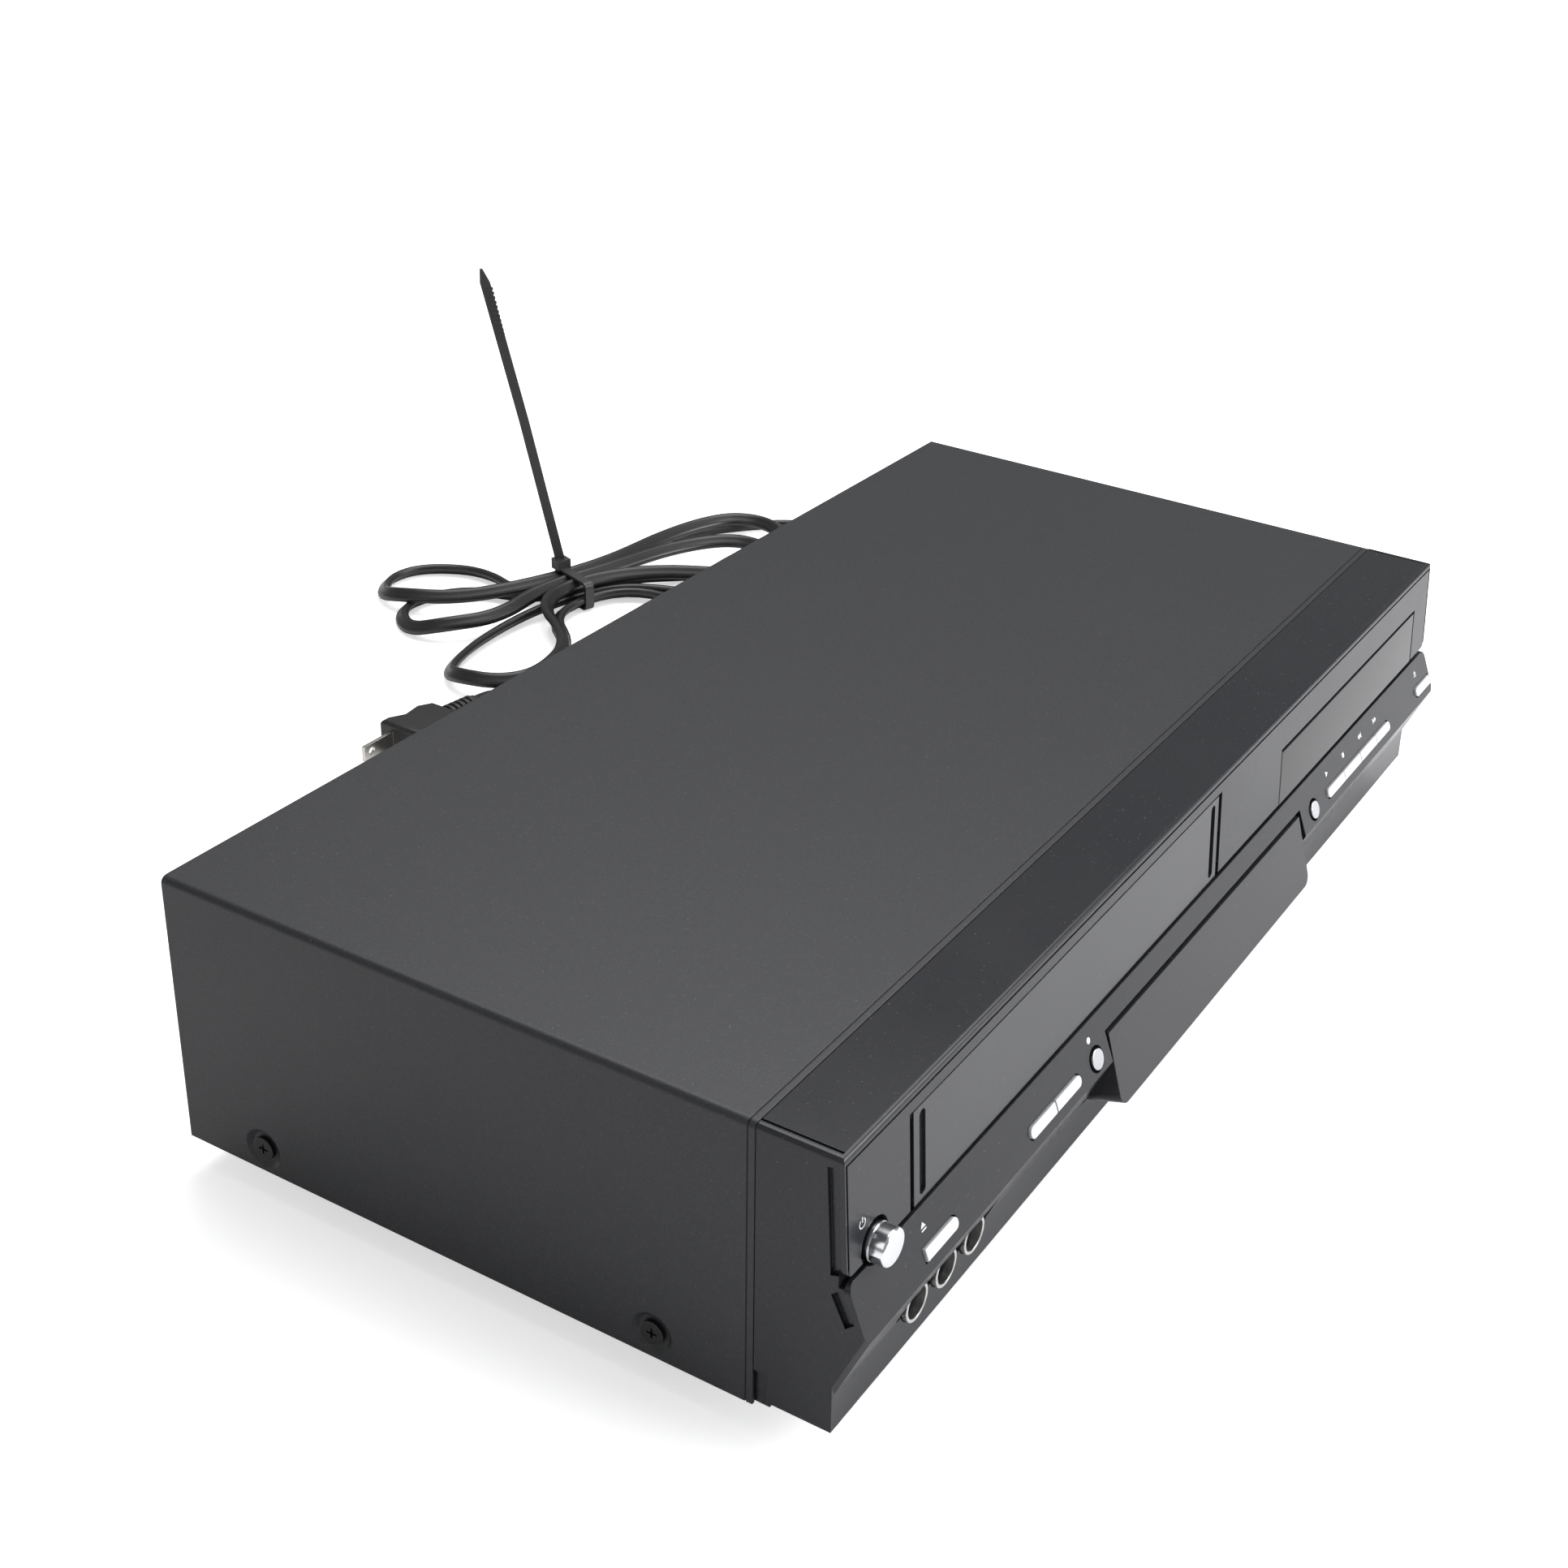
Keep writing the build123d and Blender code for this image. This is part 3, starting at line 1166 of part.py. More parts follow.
def make_lead():
    """From the bushing down to the floor, round behind the unit and in to the hank."""
    end, toward = hank_stations()[0]
    last = end - toward * 27.0
    return route([
        lead_tip, (cord_exit_x, rear + 32.0, cord_exit_z), (189, rear + 59.0, 7.0), (214, rear + 70.0, rows[0]),
        (243, rear + 67.0, rows[0]), (270, rear + 65.5, rows[0]), (292, rear + 81.0, rows[0]),
        (299, rear + 107.0, rows[0]), (288, rear + 130.5, rows[0]), tuple(last), tuple(end),
    ], "lead")


def make_cord_end():
    """From the hank to the plug's tail."""
    start, toward = hank_stations()[-1]
    return route([
        tuple(start), tuple(start + toward * 14.0), (66.0, plug_y, rows[0]), (56.0, plug_y, plug_z),
        (plug_tail_x, plug_y, plug_z),
    ], "end")


def make_plug():
    """Two-blade plug, lying flat: ribbed tail, waisted body and two blades."""
    tail = Pos(plug_tail_x, plug_y, plug_z) * Rot(0, -90, 0) * Cone(
        3.4, 4.6, 18.0, align=(Align.CENTER, Align.CENTER, Align.MIN))
    for rib in range(5):
        tail += rod("x", 4.3 + 0.25 * rib, plug_tail_x - 4.0 - 3.0 * rib, plug_tail_x - 2.4 - 3.0 * rib, plug_y, plug_z)
    neck_x = plug_tail_x - 18.0
    outline = Polygon((neck_x, plug_y - 6.0), (neck_x - 6, plug_y - 9.5), (neck_x - 14, plug_y - 8.5),
                      (neck_x - 20, plug_y - 12.0), (neck_x - 24, plug_y - 12.0), (neck_x - 24, plug_y + 12.0),
                      (neck_x - 20, plug_y + 12.0), (neck_x - 14, plug_y + 8.5), (neck_x - 6, plug_y + 9.5),
                      (neck_x, plug_y + 6.0), align=None)
    body = plate_z(outline, plug_z - 6.8, plug_z + 6.8)
    body = fillet(body.edges().filter_by(Plane.XY), 2.0)
    for side in (-1, 1):
        blade = block(neck_x - 40.0, neck_x - 23.0, plug_y + side * 6.35 - 0.75, plug_y + side * 6.35 + 0.75,
                      plug_z - 3.2, plug_z + 3.2)
        blade -= rod("y", 1.6, plug_y - 10, plug_y + 10, neck_x - 36.0, plug_z)
        body += blade
    return tail + body


def make_tie():
    """Cable tie: band round the tied strands, square head and a long free tail."""
    band_place = Plane(origin=hank_centre, x_dir=across, z_dir=along)
    wide = 3 * strand_pitch + 2 * cord_radius + 0.4
    low = floor_clear + tie_lift - 0.2
    high = rows[1] + tie_lift + cord_radius + 0.2
    middle = (low + high) / 2
    outer = Pos(0, middle) * RectangleRounded(wide + 2 * tie_thick, high - low + 2 * tie_thick, 3.0)
    inner = Pos(0, middle) * RectangleRounded(wide, high - low, 2.0)
    band = extrude(band_place * (outer - inner), amount=tie_width / 2, both=True)
    head_at = band_place.location * Pos(wide / 2 - 1.0, high + tie_thick + 1.8, 0)
    tie = band + head_at * Box(tie_head, 5.0, tie_width + 2.0)
    broad = heading(tail_plane_heading)
    face = Plane(origin=head_at.position, x_dir=broad, z_dir=broad.cross(Vector(0, 0, 1)))
    h = tie_width / 2
    tail = Polygon((-h, 0), (h, 0), (h + tail_lean * 0.5, tail_reach * 0.5), (h + tail_lean, tail_reach - 6),
                   (tail_lean * 1.05 + 0.6, tail_reach), (tail_lean * 1.05 - 0.6, tail_reach),
                   (tail_lean - h, tail_reach - 6), (tail_lean * 0.5 - h, tail_reach * 0.5), align=None)
    return tie + extrude(face * tail, amount=tie_thick / 2, both=True)


save(make_pan(), "bottom_pan")
save(make_feet(), "feet")
save(make_rear_panel(), "rear_panel")
save(make_cover(), "top_cover")
save(make_cover_screws(), "cover_screws")
save(make_front_panel(), "front_panel")
for node, (x, length, style) in zip(key_names, key_list):
    save(make_key(x, length, style), node)
save(make_knob(), "power_knob")
save(make_door(), "cassette_door")
save(make_tray_front(), "tray_front")
save(make_bay(), "display_bay")
save(make_display_tube(), "display_tube")
save(make_front_jacks(), "front_jacks")
save(make_jack_rings(), "jack_rings")
save(make_rear_jacks(), "rear_jacks")
save(make_aerial_sockets(), "aerial_sockets")
save(make_tuner_can(), "tuner_can")
save(make_bushing(), "cord_bushing")
save(make_main_board(), "main_board")
save(make_board_parts(), "board_parts")
save(make_power_board(), "power_board")
save(make_power_parts(), "power_parts")
save(make_front_board(), "front_board")
save(make_switches(), "key_switches")
save(make_drive_frame(), "dvd_frame")
save(make_tray(), "disc_tray")
save(make_tray_gear(), "tray_gear")
save(make_gear_pin(), "tray_gear_pin")
save(make_traverse(), "traverse_frame")
save(make_rods(), "guide_rods")
save(make_turntable(), "turntable")
save(make_sled(), "laser_sled")
save(make_bridge(), "clamp_bridge")
save(make_puck(), "clamp_puck")
save(make_deck(), "deck_plate")
save(make_capstan(), "capstan")
save(make_pinch_arm(), "pinch_arm")
save(make_drum_base(), "drum_base")
save(make_head_drum(), "head_drum")
save(make_reel(deck_x - reel_spacing / 2), "supply_reel")
save(make_reel(deck_x + reel_spacing / 2), "takeup_reel")
save(make_guides(), "tape_guides")
save(make_loading_frame(), "loading_frame")
save(make_slider(), "carriage_slider")
save(make_holder(), "cassette_holder")
save(make_loading_gear(), "loading_gear")
save(make_lead(), "power_cord_lead")
save(make_hank(), "power_cord_hank")
save(make_cord_end(), "power_cord_end")
save(make_plug(), "power_plug")
save(make_tie(), "cable_tie")
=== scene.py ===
import json
import math

import bmesh
import bpy
from mathutils import Matrix, Vector


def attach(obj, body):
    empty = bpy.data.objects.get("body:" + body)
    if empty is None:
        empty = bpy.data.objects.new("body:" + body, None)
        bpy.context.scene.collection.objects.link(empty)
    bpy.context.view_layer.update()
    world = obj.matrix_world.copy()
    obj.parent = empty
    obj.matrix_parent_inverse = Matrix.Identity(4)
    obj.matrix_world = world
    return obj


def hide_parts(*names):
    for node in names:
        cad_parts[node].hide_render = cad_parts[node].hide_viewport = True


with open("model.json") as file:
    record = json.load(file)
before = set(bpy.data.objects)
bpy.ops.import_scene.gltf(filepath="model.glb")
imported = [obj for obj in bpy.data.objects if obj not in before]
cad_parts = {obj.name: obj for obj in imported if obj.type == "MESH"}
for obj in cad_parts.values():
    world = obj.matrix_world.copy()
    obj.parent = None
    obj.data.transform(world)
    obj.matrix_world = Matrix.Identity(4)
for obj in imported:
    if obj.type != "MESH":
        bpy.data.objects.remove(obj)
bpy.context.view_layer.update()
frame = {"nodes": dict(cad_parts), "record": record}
nodes = frame["nodes"]
scene = bpy.context.scene
mm = 0.001
panelFront = -0.11005  # y of the fascia's face at its top
panelRear = 0.11395  # y of the rear panel's outer face
print("frame loaded,", len(nodes), "nodes")


cameraLook = {
    "place": (-0.57409, -0.32703, 0.43846),
    "turn": 62.0415,  # degrees to the right of straight back
    "tilt": 24.6052,  # degrees down
    "roll": 3.1153,
    "focal": 2725.1,  # in pixels of the square picture
    "centre": (1199.73, 737.69),  # where the lens looks, in the same pixels
    "pixels": 1932,
    "sensor": 36,
    "nearest": 0.02,
}


def addCamera(look):
    camera = bpy.data.objects.new("camera", bpy.data.cameras.new("camera"))
    scene.collection.objects.link(camera)
    lens = camera.data
    lens.sensor_width = look["sensor"]
    lens.lens = look["focal"] * look["sensor"] / look["pixels"]
    lens.shift_x = 0.5 - look["centre"][0] / look["pixels"]
    lens.shift_y = look["centre"][1] / look["pixels"] - 0.5
    lens.clip_start = look["nearest"]
    turn = Matrix.Rotation(math.radians(-look["turn"]), 4, "Z")
    tilt = Matrix.Rotation(math.radians(90 - look["tilt"]), 4, "X")
    roll = Matrix.Rotation(math.radians(look["roll"]), 4, "Z")
    camera.matrix_world = Matrix.Translation(look["place"]) @ turn @ tilt @ roll
    scene.camera = camera


lampList = [  # name, place, aimed at, width, height, watts
    ("overheadPanel", (0.45, 0.20, 1.60), (0.10, 0.0, 0.05), 1.5, 1.4, 29),
    ("frontPanelLight", (0.55, -1.45, 0.75), (0.05, -0.1, 0.05), 1.3, 0.9, 33),
    ("sidePanelLight", (-1.60, 0.20, 0.90), (-0.2, 0.0, 0.05), 0.9, 0.9, 2.2),
]


def addLamps():
    for name, place, aim, width, height, watts in lampList:
        lamp = bpy.data.objects.new(name, bpy.data.lights.new(name, "AREA"))
        scene.collection.objects.link(lamp)
        lamp.data.shape = "RECTANGLE"
        lamp.data.size = width
        lamp.data.size_y = height
        lamp.data.energy = watts
        toward = Vector(aim) - Vector(place)
        aimed = toward.to_track_quat("-Z", "Y").to_matrix().to_4x4()
        lamp.matrix_world = Matrix.Translation(place) @ aimed


worldLook = {"colour": (1.0, 1.0, 1.0), "light": 0.30, "seen": 1.0}


def setWorld(look):
    # lights the deck softly, and is plain white where the camera sees it
    world = bpy.data.worlds.new("studio")
    scene.world = world
    world.use_nodes = True
    tree = world.node_tree
    back = tree.nodes["Background"]
    back.inputs["Color"].default_value = (*look["colour"], 1)
    path = tree.nodes.new("ShaderNodeLightPath")
    seen = tree.nodes.new("ShaderNodeMath")
    seen.operation = "MAXIMUM"
    tree.links.new(path.outputs["Is Camera Ray"], seen.inputs[0])
    tree.links.new(path.outputs["Is Transmission Ray"], seen.inputs[1])
    level = tree.nodes.new("ShaderNodeMapRange")
    level.inputs["To Min"].default_value = look["light"]
    level.inputs["To Max"].default_value = look["seen"]
    tree.links.new(seen.outputs[0], level.inputs["Value"])
    tree.links.new(level.outputs["Result"], back.inputs["Strength"])


floorLook = {
    "size": 12.0,
    "colour": (0.86, 0.86, 0.87),
    "roughness": 0.9,
    "lift": 0.55,  # glow that only the camera sees, so that the floor is white
}


def addFloor(look):
    mesh = bpy.data.meshes.new("floor")
    bm = bmesh.new()
    bmesh.ops.create_grid(bm, x_segments=1, y_segments=1, size=look["size"] / 2)
    bm.to_mesh(mesh)
    bm.free()
    floor = bpy.data.objects.new("floor", mesh)
    scene.collection.objects.link(floor)
    material = bpy.data.materials.new("paleFloor")
    material.use_nodes = True
    tree = material.node_tree
    shade = tree.nodes["Principled BSDF"]
    shade.inputs["Base Color"].default_value = (*look["colour"], 1)
    shade.inputs["Roughness"].default_value = look["roughness"]
    shade.inputs["Specular IOR Level"].default_value = 0.0
    path = tree.nodes.new("ShaderNodeLightPath")
    lift = tree.nodes.new("ShaderNodeMath")
    lift.operation = "MULTIPLY"
    lift.inputs[1].default_value = look["lift"]
    tree.links.new(path.outputs["Is Camera Ray"], lift.inputs[0])
    shade.inputs["Emission Color"].default_value = (1, 1, 1, 1)
    tree.links.new(lift.outputs[0], shade.inputs["Emission Strength"])
    floor.data.materials.append(material)


addCamera(cameraLook)
addLamps()
setWorld(worldLook)
addFloor(floorLook)
scene.view_settings.view_transform = "Standard"
print("camera, lamps and floor set")


def newGroup(name, inputs, outputs):
    tree = bpy.data.node_groups.new(name, "ShaderNodeTree")
    for label, kind, value in inputs:
        socket = tree.interface.new_socket(name=label, in_out="INPUT", socket_type=kind)
        socket.default_value = value
    for label, kind in outputs:
        tree.interface.new_socket(name=label, in_out="OUTPUT", socket_type=kind)
    return tree, tree.nodes.new("NodeGroupInput"), tree.nodes.new("NodeGroupOutput")


def mathNode(tree, operation, first, second, clamp=False):
    node = tree.nodes.new("ShaderNodeMath")
    node.operation = operation
    node.use_clamp = clamp
    for slot, value in enumerate((first, second)):
        if isinstance(value, bpy.types.NodeSocket):
            tree.links.new(value, node.inputs[slot])
        else:
            node.inputs[slot].default_value = value
    return node.outputs[0]


def noiseNode(tree, scale, look):
    place = tree.nodes.new("ShaderNodeTexCoord").outputs["Object"]
    if "stretch" in look:
        mapping = tree.nodes.new("ShaderNodeMapping")
        mapping.inputs["Scale"].default_value = look["stretch"]
        tree.links.new(place, mapping.inputs["Vector"])
        place = mapping.outputs["Vector"]
    noise = tree.nodes.new("ShaderNodeTexNoise")
    noise.inputs["Detail"].default_value = look["detail"]
    noise.inputs["Roughness"].default_value = look["rough"]
    tree.links.new(place, noise.inputs["Vector"])
    if isinstance(scale, bpy.types.NodeSocket):
        tree.links.new(scale, noise.inputs["Scale"])
    else:
        noise.inputs["Scale"].default_value = scale
    return noise.outputs["Fac"]


def peaks(tree, height, over, gain):
    # a mask of what stands higher than a level
    above = mathNode(tree, "SUBTRACT", height, over)
    return mathNode(tree, "MULTIPLY", above, gain, clamp=True)


grainLook = {"scale": 900.0, "detail": 3.0, "rough": 0.6, "topsOver": 0.56, "topsGain": 9.0}


def buildGrain(look):
    # moulded or powder grain: a height, and a mask of its tops
    tree, given, out = newGroup(
        "surfaceGrain",
        [("Scale", "NodeSocketFloat", look["scale"])],
        [("Height", "NodeSocketFloat"), ("Tops", "NodeSocketFloat")],
    )
    fine = noiseNode(tree, given.outputs["Scale"], look)
    tops = peaks(tree, fine, look["topsOver"], look["topsGain"])
    tree.links.new(fine, out.inputs["Height"])
    tree.links.new(tops, out.inputs["Tops"])
    return tree


wearLook = {"radius": 0.0004, "samples": 4, "patchScale": 60.0, "detail": 4.0, "rough": 0.7}


def buildEdgeWear(look):
    # rounds sharp edges for the light, and masks where hands and cloths rub them
    tree, given, out = newGroup(
        "edgeWear",
        [("Radius", "NodeSocketFloat", look["radius"]), ("Amount", "NodeSocketFloat", 1.0)],
        [("Mask", "NodeSocketFloat"), ("Normal", "NodeSocketVector")],
    )
    bevel = tree.nodes.new("ShaderNodeBevel")
    bevel.samples = look["samples"]
    tree.links.new(given.outputs["Radius"], bevel.inputs["Radius"])
    face = tree.nodes.new("ShaderNodeNewGeometry")
    dot = tree.nodes.new("ShaderNodeVectorMath")
    dot.operation = "DOT_PRODUCT"
    tree.links.new(bevel.outputs["Normal"], dot.inputs[0])
    tree.links.new(face.outputs["Normal"], dot.inputs[1])
    turned = mathNode(tree, "SUBTRACT", 1.0, dot.outputs["Value"])
    rubbed = mathNode(tree, "MULTIPLY", turned, noiseNode(tree, look["patchScale"], look))
    mask = mathNode(tree, "MULTIPLY", rubbed, given.outputs["Amount"], clamp=True)
    tree.links.new(mask, out.inputs["Mask"])
    tree.links.new(bevel.outputs["Normal"], out.inputs["Normal"])
    return tree


smudgeLook = {
    "scale": 18.0,
    "detail": 4.0,
    "rough": 0.62,
    "specks": {"scale": 1400.0, "detail": 1.0, "rough": 0.5},
    "dustOver": 0.72,
    "dustGain": 14.0,
}


def buildSmudge(look):
    # slow patches of wiping that change the gloss a little, and specks of dust
    tree, given, out = newGroup(
        "wipedPatches",
        [("Scale", "NodeSocketFloat", look["scale"])],
        [("Patch", "NodeSocketFloat"), ("Dust", "NodeSocketFloat")],
    )
    patch = noiseNode(tree, given.outputs["Scale"], look)
    specks = noiseNode(tree, look["specks"]["scale"], look["specks"])
    dust = peaks(tree, specks, look["dustOver"], look["dustGain"])
    tree.links.new(patch, out.inputs["Patch"])
    tree.links.new(dust, out.inputs["Dust"])
    return tree


lineLook = {"scale": 700.0, "detail": 3.0, "rough": 0.65, "stretch": (0.04, 1.0, 1.0)}


def buildBrushed(look):
    # fine lines along X, as rolled or ground metal has
    tree, given, out = newGroup(
        "groundLines",
        [("Scale", "NodeSocketFloat", look["scale"])],
        [("Lines", "NodeSocketFloat")],
    )
    tree.links.new(noiseNode(tree, given.outputs["Scale"], look), out.inputs["Lines"])
    return tree


grain = buildGrain(grainLook)
edgeWear = buildEdgeWear(wearLook)
smudge = buildSmudge(smudgeLook)
groundLines = buildBrushed(lineLook)
print("shader groups built")


def useGroup(tree, group, **values):
    node = tree.nodes.new("ShaderNodeGroup")
    node.node_tree = group
    for label, value in values.items():
        node.inputs[label].default_value = value
    return node


def mixColour(tree, factor, first, second):
    mix = tree.nodes.new("ShaderNodeMix")
    mix.data_type = "RGBA"
    sockets = [s for s in mix.inputs if s.type == "RGBA"]
    tree.links.new(factor, mix.inputs[0])
    for socket, value in zip(sockets, (first, second)):
        if isinstance(value, bpy.types.NodeSocket):
            tree.links.new(value, socket)
        else:
            socket.default_value = (*value, 1)
    return [s for s in mix.outputs if s.type == "RGBA"][0]


def spread(tree, value, low, high):
    node = tree.nodes.new("ShaderNodeMapRange")
    node.inputs["To Min"].default_value = low
    node.inputs["To Max"].default_value = high
    tree.links.new(value, node.inputs["Value"])
    return node.outputs["Result"]


def addBump(tree, shade, height, distance, normal):
    bump = tree.nodes.new("ShaderNodeBump")
    bump.inputs["Distance"].default_value = distance
    tree.links.new(height, bump.inputs["Height"])
    tree.links.new(normal, bump.inputs["Normal"])
    tree.links.new(bump.outputs["Normal"], shade.inputs["Normal"])


usualLook = {  # what a finish has where it says nothing else
    "patchScale": 18.0,
    "edge": 0.0003,
    "wear": 1.0,
    "grainScale": 1500.0,
    "lines": None,
    "bump": 0.00002,
    "dust": 0.1,
    "dustColour": (0.55, 0.55, 0.54),
    "sockets": {},
}


def finish(name, own):
    # colour with its fleck, gloss with its patches, grain or lines, and worn edges
    look = {**usualLook, "fleck": own["colour"], "worn": own["colour"], **own}
    material = bpy.data.materials.new(name)
    material.use_nodes = True
    tree = material.node_tree
    shade = tree.nodes["Principled BSDF"]
    for socket, value in look["sockets"].items():
        shade.inputs[socket].default_value = value
    patches = useGroup(tree, smudge, Scale=look["patchScale"])
    wear = useGroup(tree, edgeWear, Radius=look["edge"], Amount=look["wear"])
    surface = useGroup(tree, grain, Scale=look["grainScale"])
    dusty = mathNode(tree, "MULTIPLY", patches.outputs["Dust"], look["dust"])
    colour = mixColour(tree, surface.outputs["Tops"], look["colour"], look["fleck"])
    colour = mixColour(tree, dusty, colour, look["dustColour"])
    colour = mixColour(tree, wear.outputs["Mask"], colour, look["worn"])
    tree.links.new(colour, shade.inputs["Base Color"])
    low, high = look["gloss"]
    tree.links.new(spread(tree, patches.outputs["Patch"], low, high), shade.inputs["Roughness"])
    height = surface.outputs["Height"]
    if look["lines"]:
        height = useGroup(tree, groundLines, Scale=look["lines"]).outputs["Lines"]
    addBump(tree, shade, height, look["bump"], wear.outputs["Normal"])
    return material


metal = {"Metallic": 1.0}
lessShine = {"Specular IOR Level": 0.34}
finishLooks = {
    "cover_paint": {
        "colour": (0.0125, 0.0132, 0.0155), "fleck": (0.024, 0.025, 0.028), "gloss": (0.44, 0.50),
        "grainScale": 1500.0, "bump": 0.00005, "edge": 0.0006, "worn": (0.04, 0.04, 0.045)},
    "zinc_sheet": {
        "colour": (0.52, 0.53, 0.53), "fleck": (0.62, 0.63, 0.63), "gloss": (0.28, 0.5),
        "patchScale": 60.0, "lines": 500.0, "bump": 0.00001, "sockets": metal, "worn": (0.7, 0.7, 0.7)},
    "foot_rubber": {
        "colour": (0.018, 0.018, 0.018), "fleck": (0.03, 0.03, 0.03), "gloss": (0.7, 0.85),
        "bump": 0.00004},
    "black_screw": {
        "colour": (0.02, 0.02, 0.021), "gloss": (0.3, 0.45), "worn": (0.25, 0.25, 0.25), "wear": 3.0,
        "sockets": {"Metallic": 0.6}},
    "panel_plastic": {
        "colour": (0.0130, 0.0136, 0.0165), "fleck": (0.0155, 0.0162, 0.0195), "gloss": (0.22, 0.32),
        "grainScale": 900.0, "bump": 0.000008, "edge": 0.00035, "worn": (0.03, 0.03, 0.034),
        "dust": 0.12, "sockets": lessShine},
    "door_plastic": {
        "colour": (0.0200, 0.0207, 0.0250), "fleck": (0.023, 0.0237, 0.0285), "gloss": (0.20, 0.30),
        "grainScale": 900.0, "bump": 0.000008, "edge": 0.0003, "worn": (0.03, 0.03, 0.034),
        "dust": 0.12},
    "key_white": {
        "colour": (0.58, 0.59, 0.61), "fleck": (0.61, 0.62, 0.64), "gloss": (0.25, 0.4),
        "grainScale": 1200.0, "bump": 0.00001, "edge": 0.0003, "worn": (0.7, 0.7, 0.7)},
    "chrome": {
        "colour": (0.80, 0.81, 0.83), "gloss": (0.10, 0.2), "lines": 1500.0, "bump": 0.000004,
        "sockets": metal, "worn": (0.9, 0.9, 0.9)},
    "smoked_window": {
        "colour": (0.0200, 0.0205, 0.0240), "gloss": (0.18, 0.26), "grainScale": 700.0,
        "bump": 0.000004, "edge": 0.0004, "worn": (0.025, 0.025, 0.03), "dust": 0.12,
        "sockets": lessShine},
    "tray_window": {
        "colour": (0.0050, 0.0053, 0.0065), "gloss": (0.12, 0.2), "bump": 0.000004, "edge": 0.0003,
        "worn": (0.02, 0.02, 0.024), "dust": 0.12, "sockets": {"Specular IOR Level": 0.3}},
    "jack_metal": {
        "colour": (0.75, 0.75, 0.74), "gloss": (0.22, 0.35), "sockets": metal,
        "worn": (0.85, 0.85, 0.85)},
    "jack_block": {"colour": (0.022, 0.022, 0.023), "gloss": (0.4, 0.55), "bump": 0.00003},
    "nickel": {"colour": (0.68, 0.66, 0.62), "gloss": (0.18, 0.32), "sockets": metal},
    "cord_vinyl": {
        "colour": (0.012, 0.012, 0.013), "fleck": (0.016, 0.016, 0.017), "gloss": (0.28, 0.42),
        "grainScale": 1100.0, "bump": 0.00002, "edge": 0.0002, "dust": 0.15},
    "plug_vinyl": {
        "colour": (0.013, 0.013, 0.014), "gloss": (0.35, 0.5), "bump": 0.00003, "dust": 0.2},
    "tie_nylon": {"colour": (0.035, 0.035, 0.037), "gloss": (0.3, 0.45), "bump": 0.00001},
    "board_green": {
        "colour": (0.03, 0.15, 0.06), "fleck": (0.05, 0.2, 0.08), "gloss": (0.3, 0.4),
        "grainScale": 300.0},
    "board_tan": {
        "colour": (0.42, 0.30, 0.15), "fleck": (0.5, 0.36, 0.2), "gloss": (0.5, 0.6),
        "grainScale": 500.0},
    "black_parts": {"colour": (0.02, 0.02, 0.021), "gloss": (0.35, 0.5), "bump": 0.00002},
    "black_moulding": {
        "colour": (0.022, 0.022, 0.024), "fleck": (0.03, 0.03, 0.032), "gloss": (0.35, 0.5),
        "bump": 0.00002},
    "tray_plastic": {
        "colour": (0.030, 0.030, 0.034), "fleck": (0.04, 0.04, 0.044), "gloss": (0.4, 0.52),
        "grainScale": 1300.0, "bump": 0.00003, "worn": (0.06, 0.06, 0.065)},
    "white_nylon": {"colour": (0.78, 0.77, 0.72), "fleck": (0.84, 0.83, 0.78), "gloss": (0.4, 0.5)},
    "steel": {
        "colour": (0.60, 0.61, 0.62), "gloss": (0.18, 0.3), "lines": 1200.0, "bump": 0.000004,
        "sockets": metal},
    "cast_alloy": {
        "colour": (0.62, 0.63, 0.64), "fleck": (0.7, 0.71, 0.72), "gloss": (0.25, 0.42),
        "bump": 0.00001, "sockets": metal},
    "button_silver": {
        "colour": (0.50, 0.51, 0.53), "gloss": (0.2, 0.3), "lines": 1400.0, "bump": 0.000004,
        "sockets": metal, "worn": (0.85, 0.85, 0.85)},
    "mark_paint": {
        "colour": (0.62, 0.63, 0.65), "gloss": (0.4, 0.5), "bump": 0.000004, "edge": 0.00005},
    "yellow_ring": {"colour": (0.72, 0.50, 0.02), "gloss": (0.3, 0.4)},
    "white_ring": {"colour": (0.78, 0.78, 0.76), "gloss": (0.3, 0.4)},
    "red_ring": {"colour": (0.55, 0.02, 0.02), "gloss": (0.3, 0.4)},
    "green_ring": {"colour": (0.03, 0.30, 0.06), "gloss": (0.3, 0.4)},
    "blue_ring": {"colour": (0.03, 0.08, 0.42), "gloss": (0.3, 0.4)},
    "tube_glass": {"colour": (0.10, 0.14, 0.14), "gloss": (0.05, 0.1), "bump": 0.000002},
}
finishes = {slot: finish(slot, look) for slot, look in finishLooks.items()}
repainted = {  # nodes whose look isn't their slot's
    "record_button": "button_silver",
    "selector_button": "button_silver",
    "tray_front": "tray_window",
}
nodeLook = {
    "joined": 0.000002,  # corners nearer than this are one
    "crease": 32,  # degrees between faces that keep a sharp edge
    "bladeFoot": 0.0039,  # x of the plug's face; what is left of it is blade
}


def dressNodes(look):
    for part in frame["record"]["subparts"]:
        node = nodes[part["node"]]
        node.data.materials.clear()
        node.data.materials.append(finishes[repainted.get(part["node"], part["material_slot"])])
        node.data.polygons.foreach_set("material_index", [0] * len(node.data.polygons))
        smoothNode(node, look)
    plug = nodes["power_plug"].data
    plug.materials.append(finishes["nickel"])
    for face in plug.polygons:
        face.material_index = int(face.center.x < look["bladeFoot"])


